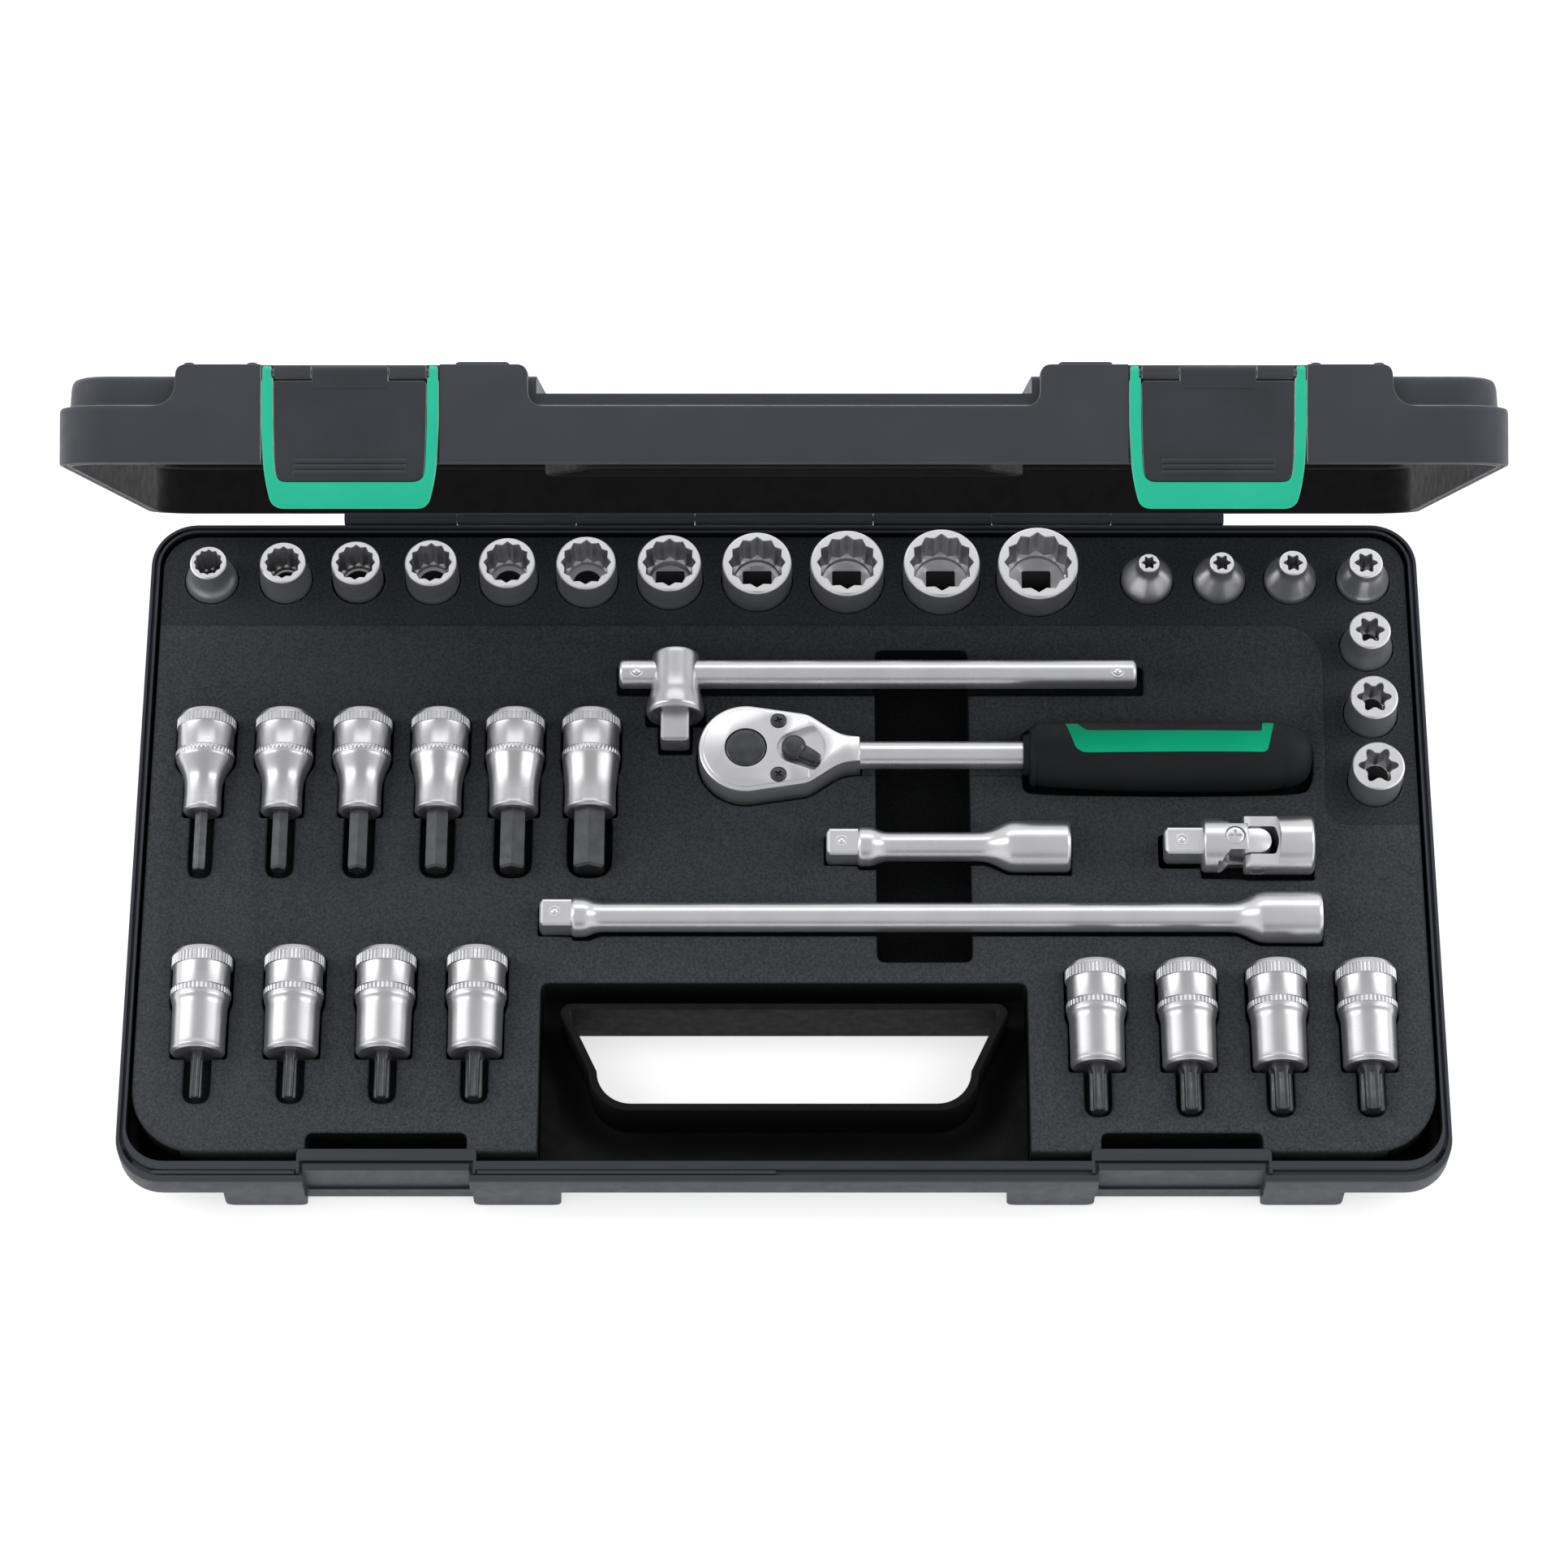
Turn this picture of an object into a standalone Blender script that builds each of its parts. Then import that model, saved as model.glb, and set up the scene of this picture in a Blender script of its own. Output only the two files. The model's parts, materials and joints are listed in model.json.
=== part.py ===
"""Socket wrench set in a hinged plastic case, 3/8 inch drive.

Frame: +X to the right, +Y to the back (hinge side), +Z up.  The origin is the
centre of the flat underside of the case base.  Shapes are written in
millimetres and turned into metres when each mesh is made.

The lid is modelled in its closed place and turned open about the hinge rod by
the empty that carries it.
"""

import math
from math import cos, pi, radians, sin, sqrt

import bmesh
import bpy
from mathutils import Matrix, Vector

# ----------------------------------------------------------------- dimensions
CASE_W = 424.0            # outside width of the case
CASE_D = 234.6            # outside depth of the case
CORNER_R = 15.0           # plan corner radius
BASE_H = 24.0             # height of the base, floor to parting plane
LID_H = 26.0              # height of the lid above the parting plane
BOSS_H = 29.0             # height of the lid at its latch bosses
CENTRE_H = 20.7           # height of the lid at the handle
PART_GAP = 0.3            # gap between the closed rims
WALL = 2.6

HINGE_Y, HINGE_Z = 120.2, 23.0
KNUCKLE_R, ROD_R = 2.5, 1.0
HINGE_HALF = 148.0
LID_OPEN = 65.6           # degrees the lid stands open

LATCH_X = 125.9           # centre of each latch
LATCH_W = 51.3
LATCH_PIN_Y, LATCH_PIN_Z, LATCH_PIN_R = -115.9, 50.6, 1.0
LATCH_BOTTOM = 11.1
LATCH_HALF_T = 1.95       # half the latch's thickness

FOAM_TOP = 23.2           # top face of the foam tray
SOCKET_FOOT = 7.3         # underside of the standing sockets
SOCKET_L = 28.0           # length of a standing socket
SQUARE = 9.5              # 3/8 inch drive square
SQUARE_HOLE = 9.7

# handle opening: a trapezoid, wide side towards the hinge
GRIP_FAR_Y, GRIP_NEAR_Y = -58.2, -90.4
GRIP_FAR_HALF, GRIP_NEAR_HALF = 69.8, 55.0
COLLAR_T = 2.5

# 12-point sockets: size, x, outside diameter of the wrench end
SOCKETS = [
    (8, -191.6, 12.3), (10, -166.8, 15.4), (11, -142.6, 16.9), (12, -117.6, 18.0),
    (13, -92.2, 19.4), (14, -65.9, 20.5), (15, -38.2, 21.8), (16, -9.0, 23.2),
    (17, 21.0, 24.6), (18, 52.5, 25.6), (19, 84.6, 26.9),
]
SOCKET_ROW_Y = 97.2
DRIVE_END_D = 17.4

# external six-lobe sockets: name, x, y, outside diameter, bore across points
LOBE_SOCKETS = [
    (5, 121.5, 97.0, 7.0, 4.75), (6, 145.7, 97.0, 8.2, 5.75), (7, 169.4, 97.0, 9.3, 6.2),
    (8, 193.7, 97.0, 11.1, 7.5), (10, 193.7, 72.1, 13.8, 9.4), (12, 193.8, 47.5, 15.8, 11.2),
    (14, 193.9, 22.6, 17.3, 12.9),
]

# lying hexagon bit sockets: size, x, neck diameter
LYING_Z = 25.0
HEX_Y = 45.0              # drive end face
HEX_BITS = [
    (4, -190.2, 12.2), (5, -164.3, 13.3), (6, -138.7, 13.8),
    (7, -113.1, 15.1), (8, -88.4, 16.0), (10, -63.4, 16.8),
]
HEX_HEAD_R = 9.7
HEX_HEAD_L, HEX_SHOULDER_L, HEX_NECK_L, HEX_BIT_L = 16.8, 21.0, 35.1, 55.5

# lying six-lobe bit sockets: size, x, y of the drive end face, bit diameter
STAR_BITS = [
    (20, -187.3, -39.8, 3.9), (25, -157.5, -39.8, 4.5), (27, -128.1, -39.8, 5.05), (30, -98.8, -39.8, 5.6),
    (35, 100.1, -44.3, 5.95), (40, 129.4, -44.3, 6.7), (45, 158.3, -44.3, 7.3), (50, 187.1, -44.3, 7.9),
]
STAR_HEAD_R, STAR_BODY_R = 9.8, 8.8
STAR_KNURL_L, STAR_HEAD_L, STAR_BIT_L = 16.0, 35.0, 49.8

# sliding T-handle
T_Y, T_Z = 59.0, 28.3
T_BAR_X0, T_BAR_X1, T_BAR_R = -54.5, 116.4, 4.8
T_HEAD_X, T_HEAD_Y0, T_HEAD_Y1, T_SQUARE_Y = -35.8, 66.3, 43.6, 33.0

# reversible ratchet
R_Y, R_HEAD_X, R_HEAD_R = 29.9, -12.5, 15.6
R_BOTTOM, R_BODY_TOP, R_PLATE_TOP = 20.5, 31.8, 33.3
R_LEVER_X = 3.2
R_SHAFT_Z, R_SHAFT_R = 27.5, 4.55
R_SCREWS = [(-1.8, 9.7), (-1.8, -9.7)]
GRIP_X0, GRIP_X1, GRIP_Y = 80.5, 173.0, 29.5

# extensions and universal joint
EXT_Z = 26.0
EXT_SHORT_X, EXT_SHORT_L, EXT_SHORT_Y = 13.7, 79.3, -2.4
EXT_LONG_X, EXT_LONG_L, EXT_LONG_Y = -79.0, 252.6, -27.4
UJ_Y, UJ_Z = -3.0, 28.3
UJ_X0, UJ_X1 = 123.4, 172.0
UJ_PIN1_X, UJ_PIN1_R = 146.1, 3.2     # upright pin of the square's fork
UJ_PIN2_X, UJ_PIN2_R = 153.4, 2.6     # level pin of the socket's fork

FINGER = (30.0, 61.0, -41.8, 70.8)    # finger slot in the foam

# ------------------------------------------------------------------ clean up
for item in list(bpy.data.objects):
    bpy.data.objects.remove(item, do_unlink=True)

SCENE = bpy.context.scene.collection


def material(name, colour, rough, metal):
    mat = bpy.data.materials.new(name)
    mat.use_nodes = True
    shader = mat.node_tree.nodes["Principled BSDF"]
    shader.inputs["Base Color"].default_value = (*colour, 1)
    shader.inputs["Roughness"].default_value = rough
    shader.inputs["Metallic"].default_value = metal
    mat.diffuse_color = (*colour, 1)
    return mat


CASE = material("case_plastic", (0.055, 0.058, 0.064), 0.55, 0)
FOAM = material("tray_foam", (0.028, 0.029, 0.031), 0.95, 0)
GREEN = material("latch_green", (0.045, 0.49, 0.29), 0.45, 0)
STEEL = material("satin_chrome", (0.66, 0.66, 0.67), 0.28, 1)
ROD = material("hinge_steel", (0.5, 0.5, 0.5), 0.4, 1)
BLACK = material("black_oxide", (0.035, 0.035, 0.038), 0.4, 0.8)
RUBBER = material("grip_rubber", (0.022, 0.023, 0.025), 0.6, 0)
INLAY = material("inlay_green", (0.0, 0.42, 0.18), 0.5, 0)


# ------------------------------------------------------------------- helpers
def joint_empty(name, at, parent=None):
    """An empty on a joint's axis, at a point in closed-case millimetres."""
    empty = bpy.data.objects.new(name, None)
    SCENE.objects.link(empty)
    empty["at"] = at
    base = Vector(parent["at"]) if parent else Vector((0, 0, 0))
    empty.location = (Vector(at) - base) * 0.001
    empty.parent = parent
    return empty


def solid(name, bm, mat, carrier=None, cutter=False):
    """Turns a bmesh in millimetres into a named object carried by an empty."""
    bmesh.ops.recalc_face_normals(bm, faces=bm.faces)
    origin = Vector(carrier["at"]) if carrier else Vector((0, 0, 0))
    bmesh.ops.translate(bm, verts=bm.verts, vec=-origin)
    bmesh.ops.scale(bm, verts=bm.verts, vec=(0.001, 0.001, 0.001))
    mesh = bpy.data.meshes.new(name)
    bm.to_mesh(mesh)
    bm.free()
    mesh.materials.append(mat)
    mesh.shade_smooth()
    mesh.set_sharp_from_angle(angle=radians(32))
    obj = bpy.data.objects.new(name, mesh)
    obj.parent = carrier
    if cutter:
        obj.hide_render = True
        obj.display_type = "WIRE"
    else:
        SCENE.objects.link(obj)
    return obj


def loft(rings, loop=False):
    """A skin over rings of equal point count; its ends are capped, or joined."""
    bm = bmesh.new()
    rows = [[bm.verts.new(p) for p in ring] for ring in rings]
    count = len(rows[0])
    pairs = list(zip(rows, rows[1:])) + ([(rows[-1], rows[0])] if loop else [])
    for a, b in pairs:
        for i in range(count):
            j = (i + 1) % count
            bm.faces.new((a[i], a[j], b[j], b[i]))
    if not loop:
        bm.faces.new(rows[0][::-1])
        bm.faces.new(rows[-1])
    return bm


def block(x0, x1, y0, y1, z0, z1):
    corners = [(x0, y0), (x1, y0), (x1, y1), (x0, y1)]
    return loft([[(x, y, z) for x, y in corners] for z in (z0, z1)])


def prism(outline, z0, z1):
    return loft([[(x, y, z) for x, y in outline] for z in (z0, z1)])


def prism_x(outline, x0, x1):
    """A prism along X over an outline of (y, z) points."""
    return loft([[(x, y, z) for y, z in outline] for x in (x0, x1)])


def rounded(x0, x1, y0, y1, radii, steps=3):
    """Rounded rectangle, counter-clockwise; radii at (x1,y1),(x0,y1),(x0,y0),(x1,y0)."""
    if not hasattr(radii, "__len__"):
        radii = (radii,) * 4
    points = []
    for corner, (cx, sx, cy, sy) in enumerate(
        ((x1, -1, y1, -1), (x0, 1, y1, -1), (x0, 1, y0, 1), (x1, -1, y0, 1))
    ):
        r = radii[corner]
        for k in range(steps + 1):
            a = (corner + k / steps) * pi / 2
            points.append((cx + sx * r + r * cos(a), cy + sy * r + r * sin(a)))
    return points


def circle(cx, cy, r, n, phase=0.0):
    return [(cx + r * cos(phase + 2 * pi * k / n), cy + r * sin(phase + 2 * pi * k / n)) for k in range(n)]


def round_out(r, n):
    """Corner radius of an n-sided hole that clears a circle of radius r."""
    return r / cos(pi / n)


PHASE12 = pi / 12         # puts a 12-sided ring's corners on a square's corners


def ring_radii(kind, n, phase):
    """Radii of a ring's points: a number is a circle, a pair alternates, and
    ('square', a) is a square of side a."""
    if isinstance(kind, (int, float)):
        return [kind] * n
    if kind[0] == "square":
        half = kind[1] / 2
        return [half / max(abs(cos(phase + 2 * pi * k / n)), abs(sin(phase + 2 * pi * k / n))) for k in range(n)]
    return [kind[k % 2] for k in range(n)]


def turned(profile, centre, axis, n=12, phase=PHASE12, loop=False):
    """A turned solid over (distance along axis, ring) pairs."""
    axis = Vector(axis)
    if abs(axis.z) > 0.5:
        u, v = Vector((1, 0, 0)), Vector((0, 1, 0))
    elif abs(axis.y) > 0.5:
        u, v = Vector((1, 0, 0)), Vector((0, 0, 1))
    else:
        u, v = Vector((0, 1, 0)), Vector((0, 0, 1))
    rings = []
    for h, kind in profile:
        radii = ring_radii(kind, n, phase)
        rings.append([
            Vector(centre) + axis * h + (u * cos(phase + 2 * pi * k / n) + v * sin(phase + 2 * pi * k / n)) * radii[k]
            for k in range(n)
        ])
    return loft(rings, loop)


def boolean(target, shapes, mat, operation, carrier=None):
    """Applies shapes, bmeshes in millimetres, to the target as one modifier."""
    tag = f"{target.name}_{operation.lower()}_{len(target.modifiers)}"
    group = bpy.data.collections.new(tag)
    SCENE.children.link(group)
    for k, shape in enumerate(shapes):
        group.objects.link(solid(f"{tag}_{k}", shape, mat, carrier, cutter=True))
    mod = target.modifiers.new(tag, "BOOLEAN")
    mod.solver = "EXACT"
    mod.operation = operation
    mod.operand_type = "COLLECTION"
    mod.collection = group
    return target


# ---------------------------------------------------------- shared case forms
HW, HD = CASE_W / 2, CASE_D / 2


def case_ring(inset, z, front=None):
    """Plan outline of the case at an inset, with its own front edge if given."""
    y0 = -HD + inset if front is None else front
    r = max(CORNER_R - inset * 0.8, 3.0)
    return [(x, y, z) for x, y in rounded(-HW + inset, HW - inset, y0, HD - inset, r)]


def handle_outline(grow, steps=3):
    """The handle opening, grown outward; its two near corners are round."""
    far, near = GRIP_FAR_Y + grow, GRIP_NEAR_Y - grow
    slope = (GRIP_FAR_HALF - GRIP_NEAR_HALF) / (GRIP_FAR_Y - GRIP_NEAR_Y)
    side = grow * sqrt(1 + slope * slope)

    def half(y):
        return GRIP_NEAR_HALF + slope * (y - GRIP_NEAR_Y) + side

    r_far, r_near = 3.0 + grow, 9.0 + grow
    right = []
    for y, r, sign in ((near, r_near, 1), (far, r_far, -1)):
        cy = y + sign * r
        cx = half(cy) - r * 1.02
        a0, a1 = ((-pi / 2, 0.0) if sign > 0 else (0.0, pi / 2))
        for k in range(steps + 1):
            a = a0 + (a1 - a0) * k / steps
            right.append((cx + r * cos(a), cy + r * sin(a)))
    left = [(-x, y) for x, y in reversed(right)]
    return right + left


# ----------------------------------------------------------------- case base
base = solid(
    "base_shell",
    loft([
        case_ring(10.0, WALL, -105.5), case_ring(7.3, 5.5, -107.8), case_ring(5.8, 14.6, -108.6),
        case_ring(3.0, 15.0, -110.3), case_ring(3.0, BASE_H, -110.3),
        case_ring(0.6, BASE_H), case_ring(0.0, BASE_H - 0.8), case_ring(0.0, 13.2),
        case_ring(3.0, 12.4), case_ring(5.2, 3.0), case_ring(8.2, 0.0),
    ]),
    CASE,
)

# knuckles alternate along the back edge: the base holds the ends and the middle
KNUCKLES = []
edges = [-HINGE_HALF, -110.0, -70.0, -30.0, 30.0, 70.0, 110.0, HINGE_HALF]
for index, (x0, x1) in enumerate(zip(edges, edges[1:])):
    KNUCKLES.append((x0 + 0.2, x1 - 0.2, "base" if index % 2 == 0 else "lid"))


def knuckle(x0, x1, z0, z1):
    """A knuckle joined to its wall by a web, as one outline of (y, z)."""
    barrel = prism_x(circle(HINGE_Y, HINGE_Z, KNUCKLE_R, 8, pi / 8), x0, x1)
    web = block(x0 + 0.01, x1 - 0.01, HD - 1.3, HINGE_Y, z0, z1)
    return [barrel, web]


adds = [prism(handle_outline(COLLAR_T), 1.0, BASE_H - 1.5)]
for side in (-1, 1):
    for a, b in ((71.0, 98.9), (151.8, 178.0)):
        adds.append(block(min(side * a, side * b), max(side * a, side * b), -HD, -109.5, 2.6, 20.0))
for x0, x1, owner in KNUCKLES:
    if owner == "base":
        adds += knuckle(x0, x1, HINGE_Z - 2.3, HINGE_Z - 0.4)
boolean(base, adds, CASE, "UNION")
cuts = [prism(handle_outline(0.0), -2.0, BASE_H + 2.0)]
for side in (-1, 1):
    x0, x1 = sorted((side * (LATCH_X - 26.4), side * (LATCH_X + 26.4)))
    cuts.append(block(x0, x1, -HD - 4, -113.5, 9.5, BASE_H + 2))
cuts.append(prism_x(circle(HINGE_Y, HINGE_Z, round_out(ROD_R + 0.05, 8), 8), -HINGE_HALF - 3, HINGE_HALF + 3))
boolean(base, cuts, CASE, "DIFFERENCE")

# the hinge rod, held in the base knuckles
solid("hinge_rod", prism_x(circle(HINGE_Y, HINGE_Z, ROD_R, 12), -HINGE_HALF + 0.6, HINGE_HALF - 0.6), ROD)

# ----------------------------------------------------------------- foam tray
tray = solid(
    "tool_tray",
    loft([
        [(x, y, z) for x, y in rounded(-HW + i, HW - i, f, HD - i, (r, r, 22.0, 22.0))]
        for i, z, f, r in (
            (10.8, 3.1, -104.9, 8), (7.8, 5.9, -106.4, 9), (6.4, 14.2, -106.9, 10),
            (6.4, 15.4, -106.9, 10), (4.0, 15.5, -106.9, 12), (4.0, FOAM_TOP, -106.9, 12),
        )
    ]),
    FOAM,
)
pockets = [
    block(-78.4, 78.4, -125.0, -48.9, -2.0, 40.0),                 # room for the handle
    block(*FINGER, 6.0, 40.0),                                     # finger slot
]
for side in (-1, 1):                                               # front edge notches
    x0, x1 = sorted((side * 100.6, side * 152.0))
    pockets.append(block(x0, x1, -125.0, -100.4, -2.0, 40.0))


def foot_radius(od):
    """Radius of a socket's drive end, which the foam's lower hole fits."""
    if od < DRIVE_END_D:
        return DRIVE_END_D / 2
    return od / 2 - (0.0 if od < 22.0 else 2.0)


def socket_holes(x, y, od):
    """The stepped round hole of a standing socket, and a smaller one below it."""
    r = foot_radius(od)
    holes = [
        prism(circle(x, y, round_out(r + 0.35, 12), 12), SOCKET_FOOT - 0.3, 40.0),
        prism(circle(x, y, 7.4, 4, pi / 4), -2.0, SOCKET_FOOT),
    ]
    if od / 2 > r:
        holes.append(prism(circle(x, y, round_out(od / 2 + 0.35, 12), 12), SOCKET_FOOT + 8.4, 40.0))
    return holes


for size, x, od in SOCKETS:
    pockets += socket_holes(x, SOCKET_ROW_Y, od)
for size, x, y, od, bore in LOBE_SOCKETS:
    pockets += socket_holes(x, y, DRIVE_END_D - 0.01)
for size, x, neck in HEX_BITS:
    pockets.append(block(x - 10.2, x + 10.2, HEX_Y - HEX_NECK_L - 0.8, HEX_Y + 0.7, LYING_Z - 10.3, 40.0))
    w = size * 0.5775 + 1.2 if size < 10 else 6.9
    pockets.append(block(x - w, x + w, HEX_Y - HEX_BIT_L - 1.0, HEX_Y - HEX_NECK_L, LYING_Z - w - 0.6, 40.0))
for size, x, y, d in STAR_BITS:
    pockets.append(block(x - 10.3, x + 10.3, y - STAR_HEAD_L - 0.6, y + 0.7, LYING_Z - 10.4, 40.0))
    pockets.append(block(x - 4.6, x + 4.6, y - STAR_BIT_L - 1.0, y - STAR_HEAD_L, LYING_Z - 5.2, 40.0))
# T-handle head, ratchet, extensions and universal joint
pockets.append(block(T_HEAD_X - 10.1, T_HEAD_X + 10.1, T_SQUARE_Y - 0.8, T_HEAD_Y0 + 0.7, T_Z - 10.2, 40.0))


def ratchet_outline(grow, steps=7):
    """Pear-shaped outline of the ratchet's head, running into its shaft."""
    right = []
    r = R_HEAD_R + grow
    start = radians(64)
    for k in range(steps + 1):                      # round the far end of the head
        a = pi - (pi - start) * k / steps
        right.append((R_HEAD_X + r * cos(a), R_Y + r * sin(a)))
    for x, h in ((3.0, 12.4), (9.0, 9.8), (14.0, 7.2), (18.0, 5.4), (22.0, 4.4)):
        right.append((x + grow * 0.5, R_Y + h + grow))
    left = [(x, 2 * R_Y - y) for x, y in reversed(right[1:])]
    return (right + left)[::-1]


pockets.append(prism(ratchet_outline(0.6), R_BOTTOM - 0.5, 40.0))
pockets.append(prism(circle(R_HEAD_X, R_Y, 7.9, 16), 8.3, 40.0))
pockets.append(block(20.0, GRIP_X0 + 1, R_Y - 5.3, R_Y + 5.3, R_SHAFT_Z - 5.2, 40.0))
pockets.append(block(GRIP_X0 - 1.0, GRIP_X1 + 1.0, GRIP_Y - 12.2, GRIP_Y + 12.2, R_SHAFT_Z - 12.6, 40.0))
for x0, length, y in ((EXT_SHORT_X, EXT_SHORT_L, EXT_SHORT_Y), (EXT_LONG_X, EXT_LONG_L, EXT_LONG_Y)):
    x1 = x0 + length
    pockets.append(block(x0 - 0.6, x1 - 19.0, y - 6.9, y + 6.9, EXT_Z - 7.0, 40.0))
    pockets.append(block(x1 - 26.5, x1 + 0.6, y - 8.9, y + 8.9, EXT_Z - 9.1, 40.0))
pockets.append(block(134.6, 151.0, UJ_Y - 9.9, UJ_Y + 9.9, UJ_Z - 9.8, 40.0))
pockets.append(block(148.4, UJ_X1 + 0.7, UJ_Y - 9.9, UJ_Y + 9.9, UJ_Z - 10.2, 40.0))
boolean(tray, pockets, FOAM, "DIFFERENCE")

# ----------------------------------------------------------------------- lid
lid_joint = joint_empty("lid_hinge", (0, HINGE_Y, HINGE_Z))
lid_joint.rotation_euler = (radians(-LID_OPEN), 0, 0)
RIM, TOP = BASE_H + PART_GAP, BASE_H + LID_H
lid = solid(
    "lid_shell",
    loft([
        case_ring(9.0, TOP - WALL, -106.0), case_ring(5.8, TOP - 5.4, -109.6), case_ring(5.2, 39.5, -110.3),
        case_ring(3.0, 38.9, -110.3), case_ring(3.0, RIM, -110.3),
        case_ring(0.6, RIM), case_ring(0.0, RIM + 0.8), case_ring(0.0, 40.6),
        case_ring(3.0, 41.4), case_ring(3.4, TOP - 3.0), case_ring(6.4, TOP),
    ]),
    CASE, lid_joint,
)
BOSS_TOP = BASE_H + BOSS_H
PLATE_TOP = BASE_H + CENTRE_H
adds = [
    prism(handle_outline(COLLAR_T), RIM + 0.4, PLATE_TOP - 1.0),
    block(-74.4, 74.4, -HD + 4, -46.4, PLATE_TOP - 2.8, TOP - 1.5),
]
for side in (-1, 1):
    x0, x1 = sorted((side * 74.4, side * 176.7))
    shape = [(-HD, 36.0), (-HD, BOSS_TOP - 1.5), (-HD + 1.5, BOSS_TOP), (-96.0, BOSS_TOP), (-84.0, TOP - 1.0), (-84.0, 48.4), (-109.0, 48.4), (-109.5, 36.0)]
    adds.append(prism_x(shape, x0, x1))
for x0, x1, owner in KNUCKLES:
    if owner == "lid":
        adds += knuckle(x0, x1, RIM, HINGE_Z + 2.4)
boolean(lid, adds, CASE, "UNION", lid_joint)
cuts = [
    prism(handle_outline(0.0), RIM - 2.0, TOP + 4.0),
    block(-72.0, 72.0, -HD - 2, -49.0, PLATE_TOP, TOP + 4.0),
]
for side in (-1, 1):
    x0, x1 = sorted((side * (LATCH_X - 26.0), side * (LATCH_X + 26.0)))
    cuts.append(block(x0, x1, -HD - 4, -113.6, RIM - 2, TOP + 6))
cuts.append(prism_x(circle(HINGE_Y, HINGE_Z, round_out(ROD_R + 0.06, 8), 8), -HINGE_HALF - 3, HINGE_HALF + 3))
boolean(lid, cuts, CASE, "DIFFERENCE", lid_joint)
lugs = []
for side in (-1, 1):
    for a, b in ((LATCH_X - 22.0, LATCH_X - 11.4), (LATCH_X + 11.4, LATCH_X + 22.0)):
        x0, x1 = sorted((side * a, side * b))
        lugs.append(block(x0, x1, LATCH_PIN_Y - 1.5, -112.6, LATCH_PIN_Z - 1.0, BOSS_TOP - 0.6))
boolean(lid, lugs, CASE, "UNION", lid_joint)
bores = []
for side in (-1, 1):
    x0, x1 = sorted((side * (LATCH_X - 23.0), side * (LATCH_X + 23.0)))
    bores.append(prism_x(circle(LATCH_PIN_Y, LATCH_PIN_Z, round_out(LATCH_PIN_R + 0.05, 12), 12), x0, x1))
boolean(lid, bores, CASE, "DIFFERENCE", lid_joint)

# -------------------------------------------------------------------- latches
for side, word in ((-1, "left"), (1, "right")):
    cx = side * LATCH_X
    joint = joint_empty(f"latch_{word}_joint", (cx, LATCH_PIN_Y, LATCH_PIN_Z), lid_joint)

    def capsule(bottom, x0, x1, half=LATCH_HALF_T):
        """An upright bar whose top is round about the latch pin."""
        outline = [(LATCH_PIN_Y + half, bottom)] + [
            (LATCH_PIN_Y + half * cos(pi * k / 8), LATCH_PIN_Z + half * sin(pi * k / 8)) for k in range(9)
        ] + [(LATCH_PIN_Y - half, bottom)]
        return prism_x(outline, x0, x1)

    # grip frame: two side bars on the pin, joined by a wide bar at the foot
    half = LATCH_W / 2
    frame = solid(f"latch_frame_{word}", capsule(LATCH_BOTTOM + 2, cx - half, cx - half + 3.1), GREEN, joint)
    foot = loft([
        [(cx + u, y, z) for u, z in (
            (-half, 22.0), (-half + 1.0, LATCH_BOTTOM + 3), (-half + 3.2, LATCH_BOTTOM), (half - 3.2, LATCH_BOTTOM),
            (half - 1.0, LATCH_BOTTOM + 3), (half, 22.0), (half - 3.1, 22.0), (half - 5.5, 18.6), (-half + 5.5, 18.6), (-half + 3.1, 22.0))]
        for y in (LATCH_PIN_Y - LATCH_HALF_T - 0.01, LATCH_PIN_Y + LATCH_HALF_T - 0.01)
    ])
    boolean(frame, [capsule(LATCH_BOTTOM + 2, cx + half - 3.1, cx + half), foot], GREEN, "UNION", joint)
    boolean(frame, [
        prism_x(circle(LATCH_PIN_Y, LATCH_PIN_Z, round_out(LATCH_PIN_R + 0.06, 12), 12), cx - half + 0.9, cx + half - 0.9),
    ] + [
        prism_x([(LATCH_PIN_Y - 5, 8.0), (LATCH_PIN_Y - 5, LATCH_BOTTOM + 3.5), (LATCH_PIN_Y + 5, LATCH_BOTTOM + 3.5), (LATCH_PIN_Y + 5, 8.0)],
                *sorted((cx + s * (half - 1.4), cx + s * (half + 2)))) for s in (-1, 1)
    ], GREEN, "DIFFERENCE", joint)

    # plate inside the frame, with a tab round the pin
    plate = solid(
        f"latch_plate_{word}",
        loft([
            [(cx + u, y, z) for u, z in ((-19.6, 19.0), (19.6, 19.0), (22.1, 22.6), (22.1, 48.1), (-22.1, 48.1), (-22.1, 22.6))]
            for y in (LATCH_PIN_Y - 1.7, LATCH_PIN_Y + 1.7)
        ]),
        CASE, joint,
    )
    boolean(plate, [capsule(46.0, cx - 11.0, cx + 11.0, 1.85)], CASE, "UNION", joint)
    boolean(plate, [prism_x(circle(LATCH_PIN_Y, LATCH_PIN_Z, round_out(LATCH_PIN_R + 0.06, 12), 12), cx - 12, cx + 12)], CASE, "DIFFERENCE", joint)
    solid(f"latch_pin_{word}", prism_x(circle(LATCH_PIN_Y, LATCH_PIN_Z, LATCH_PIN_R, 12), cx - half + 1.2, cx + half - 1.2), ROD, lid_joint)

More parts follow.
